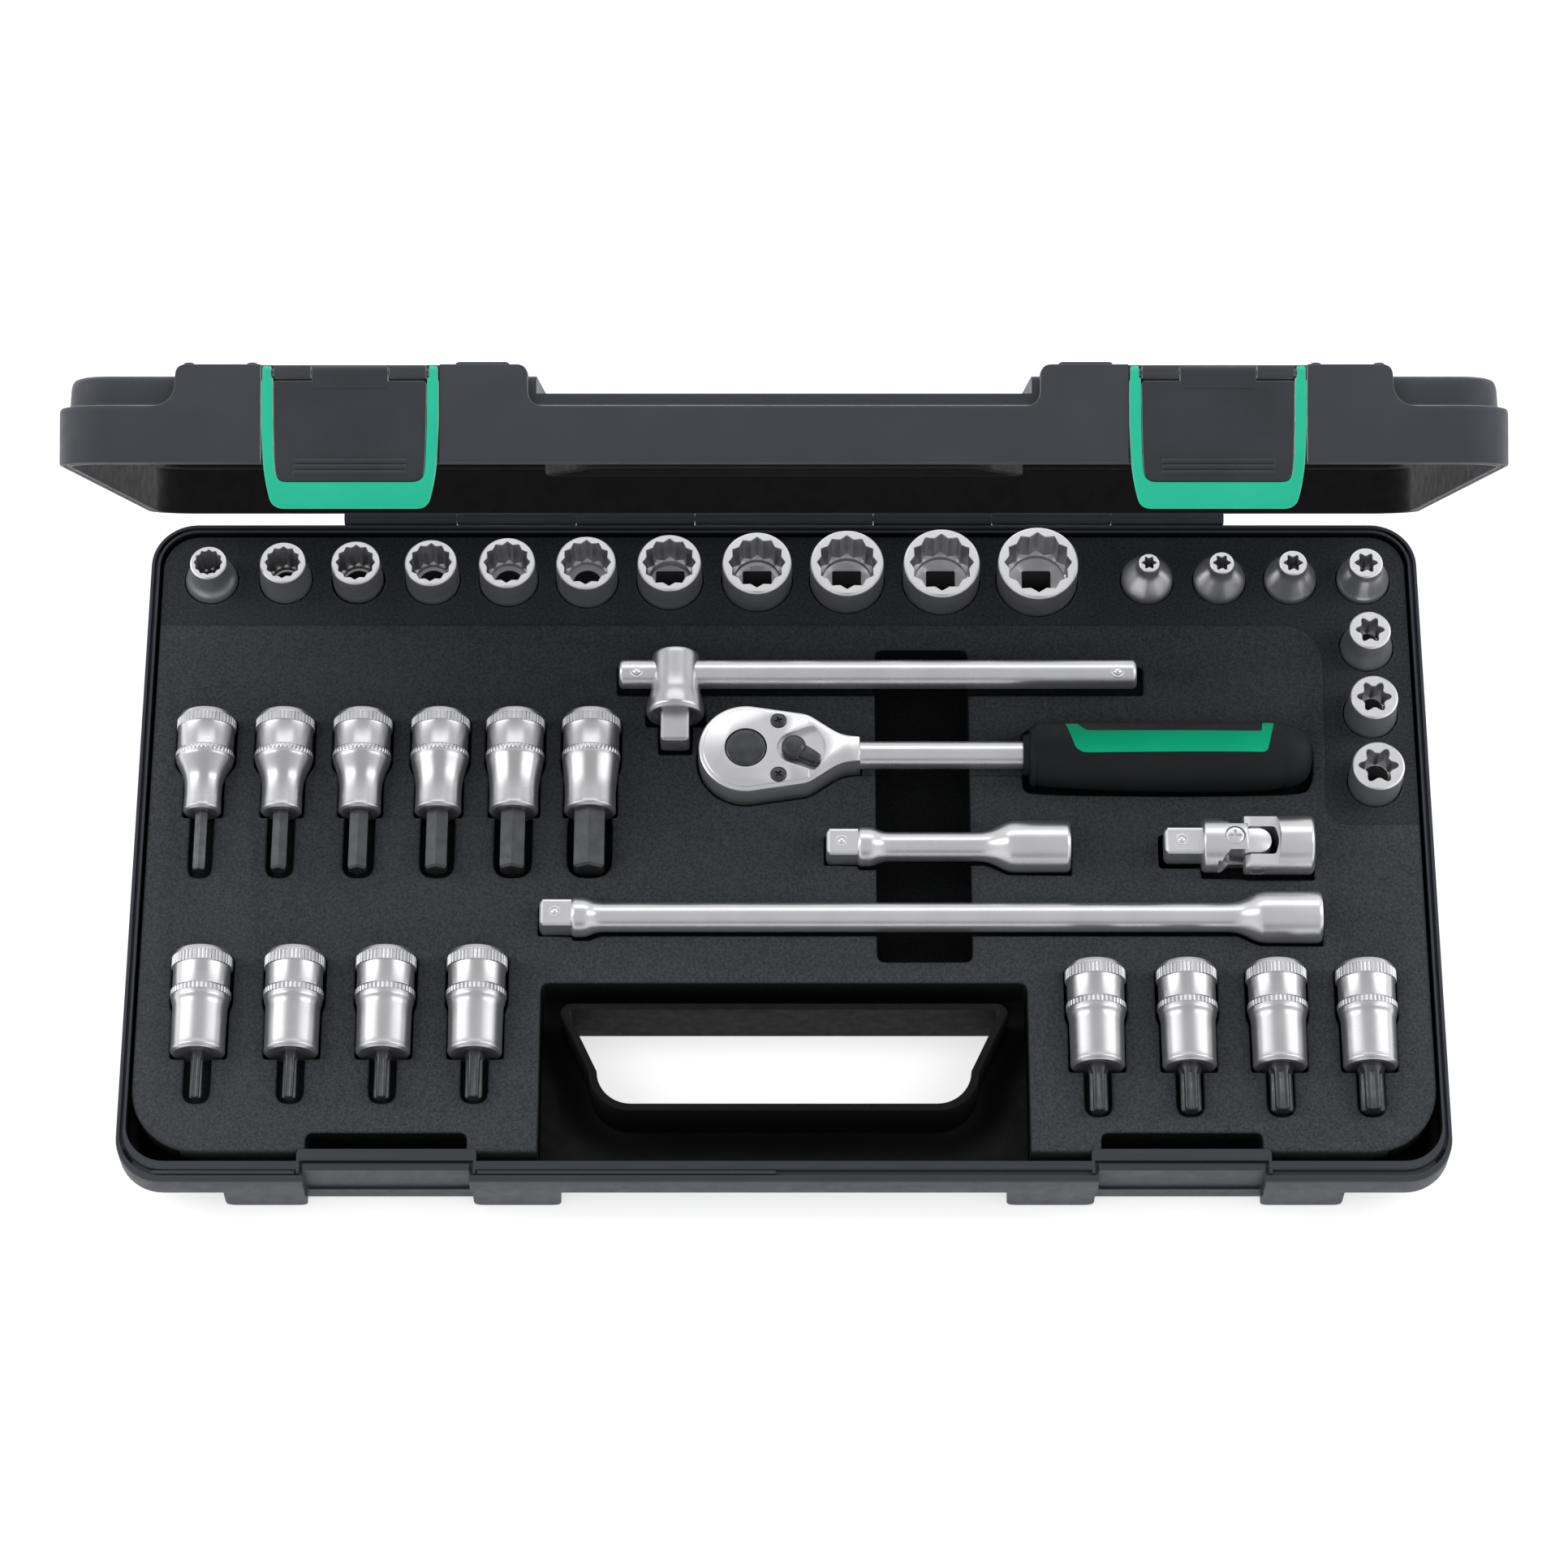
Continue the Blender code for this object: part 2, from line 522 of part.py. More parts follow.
# ----------------------------------------------------------- standing sockets
UP = (0, 0, 1)
for size, x, od in SOCKETS:
    joint = joint_empty(f"socket_{size}_lift", (x, SOCKET_ROW_Y, SOCKET_FOOT))
    r, across = od / 2, size / cos(pi / 6) / 2
    inner = size / 2 * 1.035                  # valley between two of the 12 points
    foot = foot_radius(od)
    profile = [(0, foot)]
    if od < DRIVE_END_D:
        profile += [(16.4, foot), (19.6, r)]
    elif od > 22:
        profile += [(9.0, foot), (10.6, r)]
    else:
        profile[0] = (0, r)
    profile += [
        (SOCKET_L, r), (SOCKET_L, (across, inner)), (SOCKET_L - 14.0, (across, inner)),
        (11.0, ("square", SQUARE_HOLE)), (0, ("square", SQUARE_HOLE)),
    ]
    solid(f"socket_{size:02d}mm", turned(profile, (x, SOCKET_ROW_Y, SOCKET_FOOT), UP, 24, 0.0, True), STEEL, joint)

for size, x, y, od, bore in LOBE_SOCKETS:
    joint = joint_empty(f"lobe_socket_{size}_lift", (x, y, SOCKET_FOOT))
    r, foot, lobe = od / 2, DRIVE_END_D / 2, bore / 2
    profile = [(0, foot), (16.6, foot)]
    if od < 12:
        profile += [(23.0, r + 0.6), (24.6, r)]
    else:
        profile += [(18.4, min(r, foot))]
    profile += [
        (SOCKET_L, r), (SOCKET_L, (lobe, lobe * 0.74)), (SOCKET_L - 14.0, (lobe, lobe * 0.74)),
        (11.0, ("square", SQUARE_HOLE)), (0, ("square", SQUARE_HOLE)),
    ]
    solid(f"lobe_socket_e{size:02d}", turned(profile, (x, y, SOCKET_FOOT), UP, 12, PHASE12, True), STEEL, joint)

# ------------------------------------------------------------ lying bit sockets
FORWARD = (0, -1, 0)


def bit_socket(name, x, y, profile, mat):
    joint = joint_empty(f"{name}_lift", (x, y, LYING_Z))
    drive = [(11.0, ("square", SQUARE_HOLE)), (0.0, ("square", SQUARE_HOLE))]
    solid(name, turned(drive + profile, (x, y, LYING_Z), FORWARD, 12), mat, joint)


for size, x, neck in HEX_BITS:
    corner = size / cos(pi / 6) / 2
    n = neck / 2
    # the 12 ring points lie 15 degrees off the level, so this hexagon has a corner there too
    hexagon = (corner, size / 2)
    bit_socket(f"hex_bit_socket_{size:02d}", x, HEX_Y, [
        (0.0, HEX_HEAD_R), (HEX_HEAD_L, HEX_HEAD_R), (HEX_SHOULDER_L, n),
        (HEX_NECK_L, n), (HEX_NECK_L, hexagon), (HEX_BIT_L, hexagon),
    ], STEEL)
for size, x, y, d in STAR_BITS:
    lobe = d / 2
    star = (lobe, lobe * 0.74)
    bit_socket(f"star_bit_socket_{size}", x, y, [
        (0.0, STAR_HEAD_R), (STAR_KNURL_L, STAR_HEAD_R), (STAR_KNURL_L + 2.4, STAR_BODY_R),
        (STAR_HEAD_L, STAR_BODY_R), (STAR_HEAD_L, star), (STAR_BIT_L, star),
    ], STEEL)

# ------------------------------------------------------------ sliding T-handle
t_joint = joint_empty("t_handle_lift", (T_HEAD_X, T_Y, T_Z))
bar_joint = joint_empty("t_bar_slide", (T_HEAD_X, T_Y, T_Z), t_joint)
head = solid(
    "t_handle_head",
    turned([
        (0, 7.4), (0.8, 8.0), (14.2, 8.0), (18.8, 9.4), (T_HEAD_Y0 - T_HEAD_Y1 - 0.9, 9.6), (T_HEAD_Y0 - T_HEAD_Y1, 8.7),
        (T_HEAD_Y0 - T_HEAD_Y1, ("square", SQUARE)), (T_HEAD_Y0 - T_SQUARE_Y - 0.8, ("square", SQUARE)),
        (T_HEAD_Y0 - T_SQUARE_Y, ("square", SQUARE - 1.4)),
    ], (T_HEAD_X, T_HEAD_Y0, T_Z), FORWARD),
    STEEL, t_joint,
)
boolean(head, [prism_x(circle(T_Y, T_Z, round_out(T_BAR_R + 0.06, 16), 16), T_HEAD_X - 14, T_HEAD_X + 14)], STEEL, "DIFFERENCE", t_joint)
solid(
    "t_handle_bar",
    turned([(0, T_BAR_R - 0.7), (0.7, T_BAR_R), (T_BAR_X1 - T_BAR_X0 - 0.7, T_BAR_R), (T_BAR_X1 - T_BAR_X0, T_BAR_R - 0.7)],
           (T_BAR_X0, T_Y, T_Z), (1, 0, 0), 16, 0.0),
    STEEL, bar_joint,
)

# --------------------------------------------------------- reversible ratchet
ratchet_joint = joint_empty("ratchet_lift", (R_HEAD_X, R_Y, R_BOTTOM))
WHEEL_X, WHEEL_R = R_HEAD_X, 7.9
body = solid("ratchet_body", prism(ratchet_outline(0.0), R_BOTTOM, R_BODY_TOP), STEEL, ratchet_joint)
shaft_y = [(R_Y + 0.0, R_SHAFT_Z)]
boolean(body, [turned([(0, 4.0), (3.0, R_SHAFT_R), (102.0, R_SHAFT_R)], (17.0, R_Y, R_SHAFT_Z), (1, 0, 0), 12)], STEEL, "UNION", ratchet_joint)
boolean(body, [
    prism(circle(WHEEL_X, R_Y, round_out(7.2, 16), 16), R_BOTTOM - 3, R_BODY_TOP + 3),
    prism(circle(WHEEL_X, R_Y, round_out(WHEEL_R + 0.3, 16), 16), R_BOTTOM + 1.2, R_BODY_TOP + 3),
    prism(circle(R_LEVER_X, R_Y, round_out(3.3, 12), 12), R_BODY_TOP - 5.0, R_BODY_TOP + 3),
    # the shaft's flanks are milled down to the head's own height
], STEEL, "DIFFERENCE", ratchet_joint)
boolean(body, [
    prism(circle(R_HEAD_X + dx - R_HEAD_X, R_Y + dy, 1.35, 8), R_BODY_TOP - 6.0, R_BODY_TOP + 3) for dx, dy in R_SCREWS
], STEEL, "DIFFERENCE", ratchet_joint)

cover = solid(
    "ratchet_cover_plate",
    prism([(x, y) for x, y in ratchet_outline(-1.3) if x < 15.0], R_BODY_TOP + 0.3, R_PLATE_TOP),
    STEEL, ratchet_joint,
)
boolean(cover, [
    prism(circle(WHEEL_X, R_Y, round_out(7.3, 16), 16), R_BODY_TOP - 3, R_PLATE_TOP + 3),
    prism(circle(R_LEVER_X, R_Y, round_out(4.6, 12), 12), R_BODY_TOP - 3, R_PLATE_TOP + 3),
] + [prism(circle(dx, R_Y + dy, 1.7, 8), R_BODY_TOP - 3, R_PLATE_TOP + 3) for dx, dy in R_SCREWS], STEEL, "DIFFERENCE", ratchet_joint)
for word, (dx, dy) in zip(("far", "near"), R_SCREWS):
    solid(
        f"ratchet_screw_{word}",
        turned([(0, 1.05), (6.9, 1.05), (7.1, 2.6), (7.9, 2.3)], (dx, R_Y + dy, R_PLATE_TOP - 6.8), UP, 8, 0.0),
        BLACK, ratchet_joint,
    )

drive_joint = joint_empty("ratchet_drive_turn", (WHEEL_X, R_Y, 0), ratchet_joint)
solid(
    "ratchet_drive_square",
    turned([(0, ("square", SQUARE - 1.4)), (0.8, ("square", SQUARE)), (12.3, ("square", SQUARE)), (12.3, WHEEL_R), (16.6, WHEEL_R), (17.0, WHEEL_R - 0.4)],
           (WHEEL_X, R_Y, 9.5), UP, 24, 0.0),
    STEEL, drive_joint,
)
button_joint = joint_empty("release_button_push", (WHEEL_X, R_Y, R_PLATE_TOP), ratchet_joint)
solid("release_button", turned([(0, 6.6), (0.4, 6.9), (4.6, 6.9), (5.2, 6.3)], (WHEEL_X, R_Y, 28.9), UP, 16, 0.0), BLACK, button_joint)
lever_joint = joint_empty("reversing_lever_turn", (R_LEVER_X, R_Y, R_PLATE_TOP), ratchet_joint)
LEVER_REST = radians(-29)
lever = solid("reversing_lever", turned([(0, 2.9), (4.4, 2.9), (4.6, 4.2), (6.6, 4.2), (7.4, 3.4)], (R_LEVER_X, R_Y, R_BODY_TOP - 3.6), UP, 12, 0.0), BLACK, lever_joint)
arm = loft([
    [(R_LEVER_X + u * cos(LEVER_REST) - v * sin(LEVER_REST), R_Y + u * sin(LEVER_REST) + v * cos(LEVER_REST), z)
     for u, v in ((0.0, -2.6), (8.6, -1.9), (9.6, 0.0), (8.6, 1.9), (0.0, 2.6))]
    for z in (R_PLATE_TOP + 0.35, R_PLATE_TOP + 2.4)
])
boolean(lever, [arm], BLACK, "UNION", lever_joint)

grip = solid(
    "ratchet_grip",
    turned([
        (40.0, R_SHAFT_R + 0.4), (0.0, R_SHAFT_R + 0.4), (0.0, 9.6), (2.5, 10.7), (24.0, 11.4), (58.0, 11.75),
        (82.0, 11.3), (89.0, 9.6), (92.0, 6.6), (92.5, 4.5),
    ], (GRIP_X0, GRIP_Y, R_SHAFT_Z), (1, 0, 0), 16, pi / 16),
    RUBBER, ratchet_joint,
)
# the grip's bore follows the shaft, which lies a little off the grip's centre
boolean(grip, [block(92.6, 160.9, GRIP_Y - 4.3, GRIP_Y + 5.4, 37.4, 44.0),
               turned([(0, R_SHAFT_R + 0.4), (44.0, R_SHAFT_R + 0.4)], (GRIP_X0 - 3, R_Y, R_SHAFT_Z), (1, 0, 0), 12)],
        RUBBER, "DIFFERENCE", ratchet_joint)
inlay = solid("ratchet_grip_inlay", block(93.0, 160.5, GRIP_Y - 3.9, GRIP_Y + 5.0, 37.7, 39.0), INLAY, ratchet_joint)

# ------------------------------------------------------------------ extensions
ALONG = (1, 0, 0)


def extension(name, x0, length, y):
    joint = joint_empty(f"{name}_lift", (x0, y, EXT_Z))
    solid(name, turned([
        (0, ("square", SQUARE - 1.4)), (0.8, ("square", SQUARE)), (10.2, ("square", SQUARE)), (10.2, 5.9), (10.9, 6.4), (15.2, 6.4), (18.5, 4.75),
        (length - 26.0, 4.75), (length - 19.5, 8.0), (length - 18.5, 8.4), (length - 0.6, 8.4), (length, 7.9),
        (length, ("square", SQUARE_HOLE)), (length - 12.0, ("square", SQUARE_HOLE)),
    ], (x0, y, EXT_Z), ALONG, 12), STEEL, joint)


extension("extension_short", EXT_SHORT_X, EXT_SHORT_L, EXT_SHORT_Y)
extension("extension_long", EXT_LONG_X, EXT_LONG_L, EXT_LONG_Y)

# ------------------------------------------------------------- universal joint
uj_joint = joint_empty("universal_joint_lift", (UJ_X1, UJ_Y, UJ_Z))
uj_bend = joint_empty("uj_bend_up", (UJ_PIN2_X, UJ_Y, UJ_Z), uj_joint)
uj_side = joint_empty("uj_bend_side", (UJ_PIN1_X, UJ_Y, UJ_Z), uj_bend)
fork = solid(
    "uj_socket_fork",
    turned([(UJ_X1 - 149.0, 9.0), (UJ_X1 - 149.6, 9.5), (0.6, 9.5), (0, 9.0), (0, ("square", SQUARE_HOLE)), (11.0, ("square", SQUARE_HOLE))][::-1],
           (UJ_X1, UJ_Y, UJ_Z), (-1, 0, 0), 12),
    STEEL, uj_joint,
)
boolean(fork, [
    block(140.0, 160.4, UJ_Y - 4.9, UJ_Y + 4.9, UJ_Z - 20, UJ_Z + 20),
    block(140.0, 158.6, UJ_Y - 20, UJ_Y + 20, UJ_Z + 4.4, UJ_Z + 20),
    block(140.0, 158.6, UJ_Y - 20, UJ_Y + 20, UJ_Z - 20, UJ_Z - 4.4),
    loft([[(x, y, UJ_Z + z) for x, z in circle(UJ_PIN2_X, 0, round_out(UJ_PIN2_R + 0.05, 16), 16)] for y in (UJ_Y - 14, UJ_Y + 14)]),
], STEEL, "DIFFERENCE", uj_joint)
link = solid(
    "uj_link_block",
    prism(rounded(141.75, 158.2, UJ_Y - 4.35, UJ_Y + 4.35, 4.2, 3), UJ_Z - 4.35, UJ_Z + 4.35),
    STEEL, uj_bend,
)
boolean(link, [
    prism(circle(UJ_PIN1_X, UJ_Y, round_out(UJ_PIN1_R + 0.06, 16), 16), UJ_Z - 9, UJ_Z + 9),
    loft([[(x, y, UJ_Z + z) for x, z in circle(UJ_PIN2_X, 0, round_out(UJ_PIN2_R + 0.06, 16), 16)] for y in (UJ_Y - 9, UJ_Y + 9)]),
], STEEL, "DIFFERENCE", uj_bend)
male = solid(
    "uj_square_fork",
    turned([(0, ("square", SQUARE - 1.4)), (0.8, ("square", SQUARE)), (12.4, ("square", SQUARE)), (12.4, 8.3), (12.9, 8.8), (26.8, 8.8), (27.0, 8.6)],
           (UJ_X0, UJ_Y, UJ_Z), ALONG, 12),
    STEEL, uj_side,
)
boolean(male, [
    block(140.6, 156.0, UJ_Y - 20, UJ_Y + 20, UJ_Z - 4.65, UJ_Z + 4.65),
    block(141.4, 156.0, UJ_Y + 4.5, UJ_Y + 20, UJ_Z - 20, UJ_Z + 20),
    block(141.4, 156.0, UJ_Y - 20, UJ_Y - 4.5, UJ_Z - 20, UJ_Z + 20),
    prism(circle(UJ_PIN1_X, UJ_Y, round_out(UJ_PIN1_R + 0.05, 16), 16), UJ_Z - 12, UJ_Z + 12),
], STEEL, "DIFFERENCE", uj_side)
solid("uj_pin_upright", prism(circle(UJ_PIN1_X, UJ_Y, UJ_PIN1_R, 16), UJ_Z - 8.0, UJ_Z + 8.2), STEEL, uj_side)
solid(
    "uj_pin_level",
    loft([[(x, y, UJ_Z + z) for x, z in circle(UJ_PIN2_X, 0, UJ_PIN2_R, 16)] for y in (UJ_Y - 8.9, UJ_Y + 8.9)]),
    STEEL, uj_joint,
)
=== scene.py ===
"""Looks of the socket wrench set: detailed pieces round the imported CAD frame.

Shapes are written in millimetres in the row frame and turned into metres when a
mesh is made.  Lid pieces are written closed and turned open about the hinge.
"""

import json
import math
from math import atan2, cos, pi, radians, sin, sqrt

import bmesh
import bpy
from mathutils import Matrix, Vector

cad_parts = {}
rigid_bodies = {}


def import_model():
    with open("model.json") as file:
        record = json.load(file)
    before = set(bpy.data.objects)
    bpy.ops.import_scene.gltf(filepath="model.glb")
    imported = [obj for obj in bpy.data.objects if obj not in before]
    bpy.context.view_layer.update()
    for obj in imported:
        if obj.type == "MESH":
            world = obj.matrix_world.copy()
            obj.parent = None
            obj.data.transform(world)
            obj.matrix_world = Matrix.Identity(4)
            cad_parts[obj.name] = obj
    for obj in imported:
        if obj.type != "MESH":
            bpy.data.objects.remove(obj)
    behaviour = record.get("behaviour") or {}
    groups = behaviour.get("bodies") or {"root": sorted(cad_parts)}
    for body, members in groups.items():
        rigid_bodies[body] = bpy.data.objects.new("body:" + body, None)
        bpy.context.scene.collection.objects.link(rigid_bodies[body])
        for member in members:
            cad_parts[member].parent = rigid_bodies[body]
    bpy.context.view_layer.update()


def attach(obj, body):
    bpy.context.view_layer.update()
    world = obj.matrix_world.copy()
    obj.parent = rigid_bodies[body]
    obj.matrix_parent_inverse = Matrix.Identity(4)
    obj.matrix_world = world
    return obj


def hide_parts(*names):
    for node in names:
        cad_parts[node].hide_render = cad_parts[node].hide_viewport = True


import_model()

# ----------------------------------------------------------------- dimensions
CASE_W, CASE_D, CORNER_R = 424.0, 234.6, 15.0
HW, HD = CASE_W / 2, CASE_D / 2
BASE_H, LID_H, BOSS_H, CENTRE_H, PART_GAP, WALL = 24.0, 26.0, 29.0, 20.7, 0.3, 2.6
HINGE_Y, HINGE_Z, KNUCKLE_R, ROD_R, HINGE_HALF, LID_OPEN = 120.2, 23.0, 2.5, 1.0, 148.0, 65.6
LATCH_X, LATCH_W, LATCH_BOTTOM = 125.9, 51.3, 11.1
PIN_Y, PIN_Z, PIN_R, LATCH_T = -115.9, 50.6, 1.0, 1.95
FOAM_TOP, SOCKET_FOOT, SOCKET_L = 23.2, 7.3, 28.0
SQUARE, SQUARE_HOLE = 9.5, 9.7
GRIP_FAR_Y, GRIP_NEAR_Y, GRIP_FAR_HALF, GRIP_NEAR_HALF, COLLAR_T = -58.2, -90.4, 69.8, 55.0, 2.5
SOCKETS = [
    (8, -191.6, 12.3), (10, -166.8, 15.4), (11, -142.6, 16.9), (12, -117.6, 18.0),
    (13, -92.2, 19.4), (14, -65.9, 20.5), (15, -38.2, 21.8), (16, -9.0, 23.2),
    (17, 21.0, 24.6), (18, 52.5, 25.6), (19, 84.6, 26.9),
]
SOCKET_ROW_Y, DRIVE_END_D = 97.2, 17.4
LOBE_SOCKETS = [
    (5, 121.5, 97.0, 7.0, 4.75), (6, 145.7, 97.0, 8.2, 5.75), (7, 169.4, 97.0, 9.3, 6.2),
    (8, 193.7, 97.0, 11.1, 7.5), (10, 193.7, 72.1, 13.8, 9.4), (12, 193.8, 47.5, 15.8, 11.2),
    (14, 193.9, 22.6, 17.3, 12.9),
]
LYING_Z, HEX_Y = 25.0, 45.0
HEX_BITS = [
    (4, -190.2, 12.2), (5, -164.3, 13.3), (6, -138.7, 13.8),
    (7, -113.1, 15.1), (8, -88.4, 16.0), (10, -63.4, 16.8),
]
HEX_HEAD_R, HEX_HEAD_L, HEX_SHOULDER_L, HEX_NECK_L, HEX_BIT_L = 9.7, 16.8, 21.0, 35.1, 55.5
STAR_BITS = [
    (20, -187.3, -39.8, 3.9), (25, -157.5, -39.8, 4.5), (27, -128.1, -39.8, 5.05), (30, -98.8, -39.8, 5.6),
    (35, 100.1, -44.3, 5.95), (40, 129.4, -44.3, 6.7), (45, 158.3, -44.3, 7.3), (50, 187.1, -44.3, 7.9),
]
STAR_HEAD_R, STAR_BODY_R, STAR_KNURL_L, STAR_HEAD_L, STAR_BIT_L = 9.8, 8.8, 16.0, 35.0, 49.8
T_Y, T_Z, T_BAR_X0, T_BAR_X1, T_BAR_R = 59.0, 28.3, -54.5, 116.4, 4.8
T_HEAD_X, T_HEAD_Y0, T_HEAD_Y1, T_SQUARE_Y = -35.8, 66.3, 43.6, 33.0
R_Y, R_HEAD_X, R_HEAD_R = 29.9, -12.5, 15.6
R_BOTTOM, R_BODY_TOP, R_PLATE_TOP, R_LEVER_X, R_SHAFT_Z, R_SHAFT_R = 20.5, 31.8, 33.3, 3.2, 27.5, 4.55
R_SCREWS = [("far", -1.8, 9.7), ("near", -1.8, -9.7)]
GRIP_X0, GRIP_X1, GRIP_Y = 80.5, 173.0, 29.5
EXT_Z = 26.0
EXTENSIONS = [("extension_short", 13.7, 79.3, -2.4), ("extension_long", -79.0, 252.6, -27.4)]
UJ_Y, UJ_Z, UJ_X0, UJ_X1, PIN1_X, PIN1_R, PIN2_X, PIN2_R = -3.0, 28.3, 123.4, 172.0, 146.1, 3.2, 153.4, 2.6
FINGER = (30.0, 61.0, -41.8, 70.8)
FINE = 144                # ring points of a turned piece

SCENE = bpy.context.scene.collection
LID_TURN = (
    Matrix.Translation((0, HINGE_Y, HINGE_Z))
    @ Matrix.Rotation(radians(-LID_OPEN), 4, "X")
    @ Matrix.Translation((0, -HINGE_Y, -HINGE_Z))
)


# ------------------------------------------------------------------ materials
class Shader:
    """A Principled material whose detail comes from noise in object space."""

    def __init__(self, name, colour, rough, metal=0.0):
        self.mat = bpy.data.materials.new(name)
        self.mat.use_nodes = True
        self.nt = self.mat.node_tree
        self.bsdf = self.nt.nodes["Principled BSDF"]
        self.bsdf.inputs["Base Color"].default_value = (*colour, 1)
        self.bsdf.inputs["Roughness"].default_value = rough
        self.bsdf.inputs["Metallic"].default_value = metal
        self.mat.diffuse_color = (*colour, 1)
        self.colour = colour
        self.coords = self.nt.nodes.new("ShaderNodeTexCoord").outputs["Object"]

    def noise(self, scale, detail=2.0, rough=0.5, stretch=(1, 1, 1)):
        where = self.nt.nodes.new("ShaderNodeMapping")
        where.inputs["Scale"].default_value = stretch
        self.nt.links.new(self.coords, where.inputs["Vector"])
        tex = self.nt.nodes.new("ShaderNodeTexNoise")
        tex.inputs["Scale"].default_value = scale
        tex.inputs["Detail"].default_value = detail
        tex.inputs["Roughness"].default_value = rough
        self.nt.links.new(where.outputs["Vector"], tex.inputs["Vector"])
        return tex.outputs["Fac"]

    def spots(self, scale):
        tex = self.nt.nodes.new("ShaderNodeTexVoronoi")
        tex.inputs["Scale"].default_value = scale
        self.nt.links.new(self.coords, tex.inputs["Vector"])
        return tex.outputs["Distance"]

    def span(self, value, low, high, start=0.3, end=0.7):
        rng = self.nt.nodes.new("ShaderNodeMapRange")
        rng.inputs["From Min"].default_value = start
        rng.inputs["From Max"].default_value = end
        rng.inputs["To Min"].default_value = low
        rng.inputs["To Max"].default_value = high
        self.nt.links.new(value, rng.inputs["Value"])
        return rng.outputs["Result"]

    def mix(self, factor, a, b):
        node = self.nt.nodes.new("ShaderNodeMix")
        node.data_type = "RGBA"
        self.nt.links.new(factor, node.inputs[0])
        for socket, value in ((node.inputs[6], a), (node.inputs[7], b)):
            if isinstance(value, tuple):
                socket.default_value = (*value, 1)
            else:
                self.nt.links.new(value, socket)
        return node.outputs[2]

    def paint(self, value):
        self.nt.links.new(value, self.bsdf.inputs["Base Color"])
        return self

    def gloss(self, value):
        self.nt.links.new(value, self.bsdf.inputs["Roughness"])
        return self

    def bump(self, *layers):
        """layers: (height, strength, distance in metres)."""
        before = None
        for height, strength, distance in layers:
            node = self.nt.nodes.new("ShaderNodeBump")
            node.inputs["Strength"].default_value = strength
            node.inputs["Distance"].default_value = distance
            self.nt.links.new(height, node.inputs["Height"])
            if before is not None:
                self.nt.links.new(before, node.inputs["Normal"])
            before = node.outputs["Normal"]
        self.nt.links.new(before, self.bsdf.inputs["Normal"])
        return self


def shift(colour, by):
    return tuple(max(0.0, c * by) for c in colour)


def moulded(name, colour, rough, grain=1500.0, depth=0.00004, vary=0.12, strength=0.35):
    """Moulded plastic with a fine spark-eroded grain."""
    s = Shader(name, colour, rough)
    s.bsdf.inputs["Specular IOR Level"].default_value = 0.18
    s.paint(s.mix(s.span(s.noise(55, 3), 0.0, 1.0), shift(colour, 1 - vary), shift(colour, 1 + vary)))
    s.gloss(s.span(s.noise(260, 4), rough - 0.06, rough + 0.08))
    s.bump((s.noise(grain, 3, 0.6), strength, depth), (s.noise(grain * 0.3, 2), strength * 0.4, depth * 2))
    return s


def chrome(name, stretch, level=0.80):
    """Satin chrome over turned steel; stretch draws the noise into tool marks."""
    base = (level, level, level * 1.018)
    s = Shader(name, base, 0.3, 0.88)
    s.paint(s.mix(s.span(s.noise(90, 3), 0.0, 1.0), shift(base, 0.96), shift(base, 1.04)))
    s.gloss(s.span(s.noise(30, 4, 0.6, stretch), 0.27, 0.34))
    s.bump((s.noise(30, 3, 0.6, stretch), 0.02, 0.00001), (s.noise(700, 4, 0.7), 0.02, 0.00001))
    return s.mat


CASE = moulded("case_plastic", (0.053, 0.058, 0.068), 0.47, 1600, 0.00005, 0.05).mat
# painted shade: a near-black copy of the case plastic for the inside faces of both shells and the handle pan
CASE_IN_PAINTED_SHADE = moulded("case_plastic_inside_painted_shade", (0.0042, 0.0044, 0.0052), 0.7, 1300, 0.00004).mat
PLATE = moulded("latch_plate_plastic", (0.042, 0.046, 0.054), 0.44, 1700, 0.00005).mat
GREEN = moulded("latch_green", (0.024, 0.56, 0.34), 0.42, 1500, 0.00003, 0.05, 0.2).mat
INLAY = moulded("inlay_green", (0.003, 0.60, 0.285), 0.46, 1500, 0.00003, 0.05, 0.2).mat
RUBBER = moulded("grip_rubber", (0.0150, 0.0168, 0.0176), 0.55, 1200, 0.00005, 0.1, 0.3).mat


def foam_of(name, k):
    """Cut foam: fine flecks over slow blotches; k darkens it."""
    foam = Shader(name, (0.036 * k, 0.039 * k, 0.043 * k), 0.9)
    foam.bsdf.inputs["Specular IOR Level"].default_value = 0.12
    fleck = foam.span(foam.noise(1150, 4, 0.75), 0.0, 1.0, 0.38, 0.66)
    blotch = foam.mix(foam.span(foam.noise(22, 3), 0.0, 1.0), (0.0330 * k, 0.0360 * k, 0.0400 * k), (0.0410 * k, 0.0445 * k, 0.0490 * k))
    foam.paint(foam.mix(fleck, blotch, (0.078 * k, 0.084 * k, 0.091 * k)))
    foam.gloss(foam.span(foam.noise(800, 3), 0.8, 0.95))
    foam.bump((foam.noise(900, 4, 0.7), 0.55, 0.00014), (foam.spots(1500), 0.3, 0.00008))
    return foam.mat


FOAM = foam_of("tray_foam", 1.14)
# painted shade: a darker copy of the same foam for the top of the lowered strip near the lid
FOAM_STRIP_PAINTED_SHADE = foam_of("tray_foam_strip_painted_shade", 0.86)
# painted shade: a near-black copy of the same foam for the walls and floors of the pockets
FOAM_CUT_PAINTED_SHADE = foam_of("tray_foam_cut_painted_shade", 0.22)

CHROME_X = chrome("satin_chrome_x", (70, 1, 1))
CHROME_Y = chrome("satin_chrome_y", (1, 70, 1), 0.60)
CHROME_Z = chrome("satin_chrome_z", (1, 1, 70))
CHROME = chrome("satin_chrome", (6, 1, 6))

